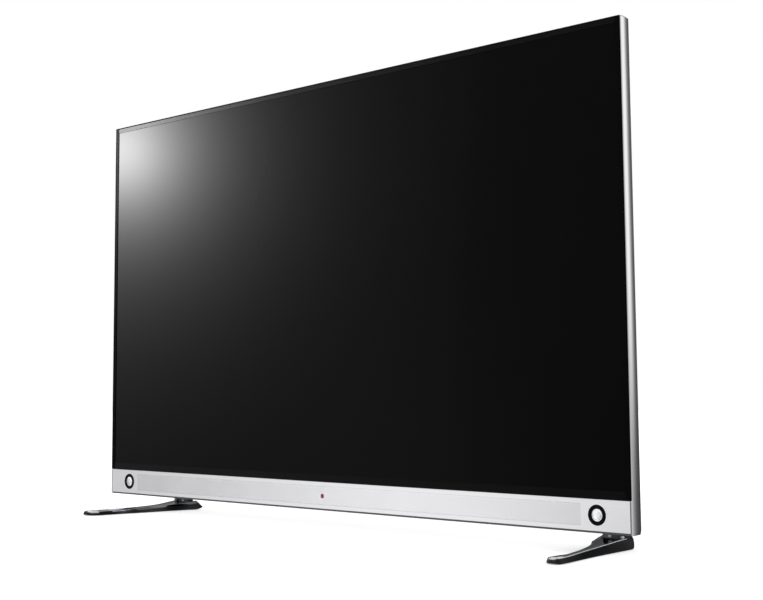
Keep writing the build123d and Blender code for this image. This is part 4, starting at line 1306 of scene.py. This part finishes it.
@dataclass
class SocketContacts(Detail):
    """Moulded tongues and plated contacts inside the signal sockets."""

    x: float = 430.0
    floor: float = 26.0
    tongue_root: float = 0.2
    strip_from: float = 0.2
    strip_to: float = 0.8
    strip_thick: float = 0.16
    strip_soft: float = 0.03
    kinds: tuple[SocketKind, ...] = (
        SocketKind(heights=(240.0, 262.0, 284.0), contact_rise=0.62, contact_width=9.6, contact_count=10,
                   contact_back=36.0, tongue=Tongue(half=5.4, back=36.4, low=-0.7, high=0.7, soft=0.2)),
        SocketKind(heights=(310.0, 328.0), contact_rise=0.2, contact_width=8.0, contact_count=4,
                   contact_back=36.4, tongue=Tongue(half=5.0, back=37.0, low=0.3, high=2.0, soft=0.25)),
        SocketKind(heights=(352.0,), contact_rise=2.2, contact_width=8.0, contact_count=8,
                   contact_back=34.0),
    )

    def strips(self, kind: SocketKind, height: float) -> list[Mesh]:
        """Lay flat contacts side by side.

        Args:
            kind: The kind of socket.
            height: The socket's height.

        Returns:
            The contacts.
        """
        left, pitch = self.x - kind.contact_width / 2, kind.contact_width / kind.contact_count
        low = height + kind.contact_rise
        return [block(left + pitch * (index + self.strip_from), left + pitch * (index + self.strip_to),
                      self.floor, kind.contact_back, low, low + self.strip_thick, self.strip_soft)
                for index in range(kind.contact_count)]

    def build(self) -> None:
        """Make the tongues as one piece and the contacts as another."""
        tongues, contacts = [], []
        for kind in self.kinds:
            for height in kind.heights:
                if kind.tongue:
                    half, back, low, high, soft = kind.tongue
                    tongues.append(block(self.x - half, self.x + half, self.floor - self.tongue_root, back,
                                         height + low, height + high, soft))
                contacts += self.strips(kind, height)
        show("socket_tongues", merge(tongues), "television", [WHITE])
        show("socket_contacts", merge(contacts), "television", [PLATED])


# Screws round the back cover: six pairs up the sides and three along the top.
COVER_SCREWS = Screws(
    node="rear_cover_screws",
    centres=(*((side * 600.0, 110.0 + 116.0 * row) for row in range(6) for side in (-1, 1)),
             (-430.0, 735.0), (0.0, 735.0), (430.0, 735.0)),
    start=17.0, face=25.0, shaft_r=1.6, head_r=3.2, head=1.6, recess=Recess.CROSS,
)

# Screws of the feet: two pairs through each flange.
FOOT_SCREWS = Screws(
    node="foot_screws",
    centres=tuple((side * (END_X - inset), height)
                  for inset in (87.0, 123.0) for height in (26.0, 74.0) for side in (-1, 1)),
    start=34.5, face=44.0, shaft_r=2.5, head_r=4.5, head=3.0, recess=Recess.HEXAGON,
)


@dataclass
class Television:
    """The whole set: finishes on every solid, and the detailed pieces."""

    details: tuple[Detail, ...] = (
        SideBand(), RingAndCap(), StatusLamp(), BladeFoot(1), BladeFoot(-1), COVER_SCREWS, FOOT_SCREWS,
        SocketContacts(),
    )

    def dress_solids(self, nodes: dict[str, bpy.types.Object]) -> None:
        """Give each solid its finish.

        Args:
            nodes: The solids by name.
        """
        for name, solid in nodes.items():
            solid.data.materials.clear()
            solid.data.materials.append(material_of(NODE_FINISHES[name]))
            LOG.info("%s: %s", name, NODE_FINISHES[name].name)

    def build(self, nodes: dict[str, bpy.types.Object]) -> None:
        """Dress the solids and make each detailed piece in order.

        Args:
            nodes: The solids by name.
        """
        self.dress_solids(nodes)
        for detail in self.details:
            detail.build()


class SoftLamp(NamedTuple):
    """Round area light: its name, its place in metres, its width in metres and its power in watts."""

    name: str
    place: Place
    size: float
    power: float


@dataclass
class Studio:
    """Pale floor, soft light and the camera at the photograph's angle.

    Lengths are in metres, apart from those named in millimetres, and angles in degrees. Levels are shares of
    white. The walls are given as levels at directions, below the eye's height and above it.
    """

    camera_mm: Place = (1613.4, -1615.5, 247.6)
    yaw: float = 42.311
    pitch: float = 5.533
    roll: float = -0.407
    lens_mm: float = 61.49
    sensor_mm: float = 36.0
    shift: tuple[float, float] = (-0.0060, -0.0533)
    clip_end: float = 60.0
    floor_half: float = 9.0
    floor_lift: float = 0.39
    fill_level: float = 0.9
    roof_level: float = 0.95
    wall_blend: tuple[float, float] = (-0.1, 0.12)
    roof_blend: tuple[float, float] = (0.6, 0.8)
    below_eye: Pairs = (
        (-180.0, 0.6), (-160.0, 0.36), (-146.0, 0.36), (-138.0, 0.88), (-131.0, 1.65), (-124.0, 0.88),
        (-116.0, 0.42), (-95.0, 0.5), (20.0, 0.6), (46.0, 0.58), (51.0, 0.55), (54.0, 0.4), (57.0, 0.25),
        (60.0, 0.16), (65.0, 0.11), (70.0, 0.08), (76.0, 0.05), (110.0, 0.08), (150.0, 0.2), (180.0, 0.6),
    )
    above_eye: Pairs = (
        (-180.0, 0.6), (-150.0, 1.0), (-90.0, 1.0), (0.0, 0.6), (40.0, 0.4), (46.0, 0.55), (51.0, 0.8),
        (54.0, 1.05), (56.0, 1.25), (59.0, 1.2), (63.0, 0.86), (66.0, 0.52), (69.0, 0.24), (72.0, 0.11),
        (90.0, 0.07), (110.0, 0.1), (127.0, 0.14), (140.0, 0.32), (155.0, 0.5), (180.0, 0.6),
    )
    ramp_headroom: float = 2.0
    lamps: tuple[SoftLamp, ...] = (
        SoftLamp("front_lamp", (-1.2, -2.6, 2.6), 2.2, 24.0),
        SoftLamp("back_lamp", (1.4, 2.6, 2.4), 2.2, 18.0),
    )
    lamp_aim: Place = (0.0, 0.0, 0.4)
    glare_corner: Place = (-0.604, -0.004, 0.741)
    glare_distance: float = 2.0
    glare_half: float = 1.3
    glare_radius: float = 0.207
    glare_power: float = 1.5
    glare_level: float = 122.0
    glare_takers: tuple[str, ...] = ("lcd_panel", "front_bezel")

    def build(self) -> None:
        """Make the floor, the world, the lights, the glare card and the camera."""
        self.add_floor()
        self.add_world()
        self.add_lights()
        self.add_glare()
        self.add_camera()
        bpy.context.scene.view_settings.view_transform = "Standard"

    def add_floor(self) -> None:
        """Lay the pale floor, which the camera sees a little lighter than it is lit."""
        bm = bmesh.new()
        bmesh.ops.create_grid(bm, x_segments=8, y_segments=8, size=self.floor_half)
        paint = FLOOR.build()
        shader = paint.node_tree.nodes["Principled BSDF"]
        shader.inputs["Emission Color"].default_value = grey(1.0)
        ray = add_node(paint.node_tree, "ShaderNodeLightPath").outputs["Is Camera Ray"]
        lift = add_node(paint.node_tree, "ShaderNodeMath", {"operation": "MULTIPLY"}, {0: ray})
        lift.inputs[1].default_value = self.floor_lift
        paint.node_tree.links.new(lift.outputs[0], shader.inputs["Emission Strength"])
        floor = object_of("floor", bm, [paint])
        floor.visible_glossy = False

    def add_world(self) -> None:
        """Show white to the camera, a soft dome to metal and glass, and an even fill to the rest."""
        world = bpy.data.worlds.new("studio_dome")
        bpy.context.scene.world = world
        world.use_nodes = True
        tree = world.node_tree
        tree.nodes.clear()
        ray = add_node(tree, "ShaderNodeLightPath").outputs
        toward = add_node(tree, "ShaderNodeTexCoord").outputs["Generated"]
        seen = add_node(tree, "ShaderNodeBackground", {"Color": grey(1.0), "Strength": 1.0})
        fill = add_node(tree, "ShaderNodeBackground", {"Color": grey(1.0), "Strength": self.fill_level})
        split = add_node(tree, "ShaderNodeSeparateXYZ", links={"Vector": toward}).outputs
        bearing = add_node(tree, "ShaderNodeMath", {"operation": "ARCTAN2"}, {0: split["Y"], 1: split["X"]})
        turn = add_node(tree, "ShaderNodeMapRange", {"From Min": -math.pi, "From Max": math.pi},
                        {"Value": bearing.outputs[0]}).outputs["Result"]
        low, high = self.surround(tree, turn, self.below_eye), self.surround(tree, turn, self.above_eye)
        over_eye = self.step_over(tree, split["Z"], self.wall_blend)
        walls = add_node(tree, "ShaderNodeMix", {"data_type": "RGBA"},
                         {"Factor": over_eye, MIX_A: low, MIX_B: high}).outputs[MIX_RESULT]
        over_walls = self.step_over(tree, split["Z"], self.roof_blend)
        roof = add_node(tree, "ShaderNodeMix", {"data_type": "RGBA"}, {"Factor": over_walls, MIX_A: walls})
        roof.inputs[MIX_B].default_value = grey(self.roof_level)
        dome = add_node(tree, "ShaderNodeBackground", {"Strength": 1.0}, {"Color": roof.outputs[MIX_RESULT]})
        shine = add_node(tree, "ShaderNodeMixShader",
                         links={0: ray["Is Glossy Ray"], 1: fill.outputs[0], 2: dome.outputs[0]})
        direct = add_node(tree, "ShaderNodeMath", {"operation": "MAXIMUM"},
                          {0: ray["Is Camera Ray"], 1: ray["Is Transmission Ray"]})
        whole = add_node(tree, "ShaderNodeMixShader",
                         links={0: direct.outputs[0], 1: shine.outputs[0], 2: seen.outputs[0]})
        add_node(tree, "ShaderNodeOutputWorld", links={"Surface": whole.outputs[0]})

    def surround(self, tree: Tree, turn: Socket, stops: Pairs) -> Socket:
        """Give the level of the studio walls all round.

        Args:
            tree: The world's node tree.
            turn: Direction as a share of a full turn from -180 degrees.
            stops: Directions in degrees with their levels.

        Returns:
            The level as a grey. The ramp holds a share of it, since a ramp's colours stop at 1.
        """
        ramp = add_node(tree, "ShaderNodeValToRGB", links={"Fac": turn})
        for index, (degrees, level) in enumerate(stops):
            place = (degrees + 180.0) / 360.0
            # A new ramp has two elements already.
            element = ramp.color_ramp.elements[index] if index < 2 else ramp.color_ramp.elements.new(place)
            element.position = place
            element.color = grey(level / self.ramp_headroom)
        full = add_node(tree, "ShaderNodeVectorMath", {"operation": "SCALE", "Scale": self.ramp_headroom},
                        {0: ramp.outputs["Color"]})
        return full.outputs["Vector"]

    def step_over(self, tree: Tree, value: Socket, limits: tuple[float, float]) -> Socket:
        """Rise smoothly from 0 to 1 between two values of a socket."""
        settings = {"interpolation_type": "SMOOTHSTEP", "From Min": limits[0], "From Max": limits[1]}
        return add_node(tree, "ShaderNodeMapRange", settings, {"Value": value}).outputs["Result"]

    def add_lights(self) -> None:
        """Hang two large soft lamps, above the front and behind the back."""
        for name, place, size, power in self.lamps:
            light = bpy.data.lights.new(name, "AREA")
            light.shape = "DISK"
            light.size = size
            light.energy = power
            lamp = place_in_scene(bpy.data.objects.new(name, light))
            lamp.location = place
            lamp.rotation_euler = (Vector(self.lamp_aim) - Vector(place)).to_track_quat("-Z", "Y").to_euler()
            lamp.visible_glossy = False

    def softbox_fabric(self) -> bpy.types.Material:
        """Make the glowing fabric, which fades out from its middle and lets light through.

        Returns:
            The fabric's material.
        """
        material = bpy.data.materials.new("softbox_fabric")
        material.use_nodes = True
        tree = material.node_tree
        tree.nodes.clear()
        place = add_node(tree, "ShaderNodeTexCoord").outputs["Object"]
        settings = {"operation": "SCALE", "Scale": 1.0 / self.glare_radius}
        spread = add_node(tree, "ShaderNodeVectorMath", settings, {0: place}).outputs["Vector"]
        reach = add_node(tree, "ShaderNodeVectorMath", {"operation": "DOT_PRODUCT"}, {0: spread, 1: spread})
        level = reach.outputs["Value"]
        for operation, value in (("ADD", 1.0), ("POWER", -self.glare_power), ("MULTIPLY", self.glare_level)):
            step = add_node(tree, "ShaderNodeMath", {"operation": operation}, {0: level})
            step.inputs[1].default_value = value
            level = step.outputs[0]
        glow = add_node(tree, "ShaderNodeEmission", links={"Strength": level})
        clear = add_node(tree, "ShaderNodeBsdfTransparent")
        both = add_node(tree, "ShaderNodeAddShader", links={0: glow.outputs[0], 1: clear.outputs[0]})
        add_node(tree, "ShaderNodeOutputMaterial", links={"Surface": both.outputs[0]})
        return material

    def add_glare(self) -> None:
        """Place the softbox whose reflection lights the screen's upper left corner, and nothing else."""
        corner = Vector(self.glare_corner)
        camera = Vector(self.camera_mm) * MM
        mirrored = Vector((camera.x, 2 * self.glare_corner[1] - camera.y, camera.z))
        toward = (corner - mirrored).normalized()
        bm = bmesh.new()
        bmesh.ops.create_grid(bm, x_segments=2, y_segments=2, size=self.glare_half)
        card = object_of("glare_card", bm, [self.softbox_fabric()])
        card.location = corner + toward * self.glare_distance
        card.rotation_euler = (-toward).to_track_quat("Z", "Y").to_euler()
        card.visible_camera = card.visible_diffuse = card.visible_shadow = False
        lit = bpy.data.collections.new("lit_by_glare")
        for name in self.glare_takers:
            lit.objects.link(bpy.data.objects[name])
        card.light_linking.receiver_collection = lit

    def add_camera(self) -> None:
        """Set the camera where the photograph was taken from."""
        data = bpy.data.cameras.new("photo_camera")
        data.sensor_width = self.sensor_mm
        data.lens = self.lens_mm
        data.shift_x, data.shift_y = self.shift
        data.clip_end = self.clip_end
        yaw, pitch, roll = (math.radians(a) for a in (self.yaw, self.pitch, self.roll))
        forward = Vector((-math.sin(yaw) * math.cos(pitch), math.cos(yaw) * math.cos(pitch), math.sin(pitch)))
        right = Vector((math.cos(yaw), math.sin(yaw), 0.0))
        above = right.cross(forward)
        turned_right = math.cos(roll) * right + math.sin(roll) * above
        turned_above = math.cos(roll) * above - math.sin(roll) * right
        matrix = Matrix((turned_right, turned_above, -forward)).transposed().to_4x4()
        matrix.translation = Vector(self.camera_mm) * MM
        camera = place_in_scene(bpy.data.objects.new("photo_camera", data))
        camera.matrix_world = matrix
        bpy.context.scene.camera = camera


def main() -> None:
    """Load the model, dress it and set the studio."""
    logging.basicConfig(level=logging.INFO, format="%(message)s")
    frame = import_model()
    Television().build(frame["nodes"])
    Studio().build()


if __name__ == "__main__":
    main()
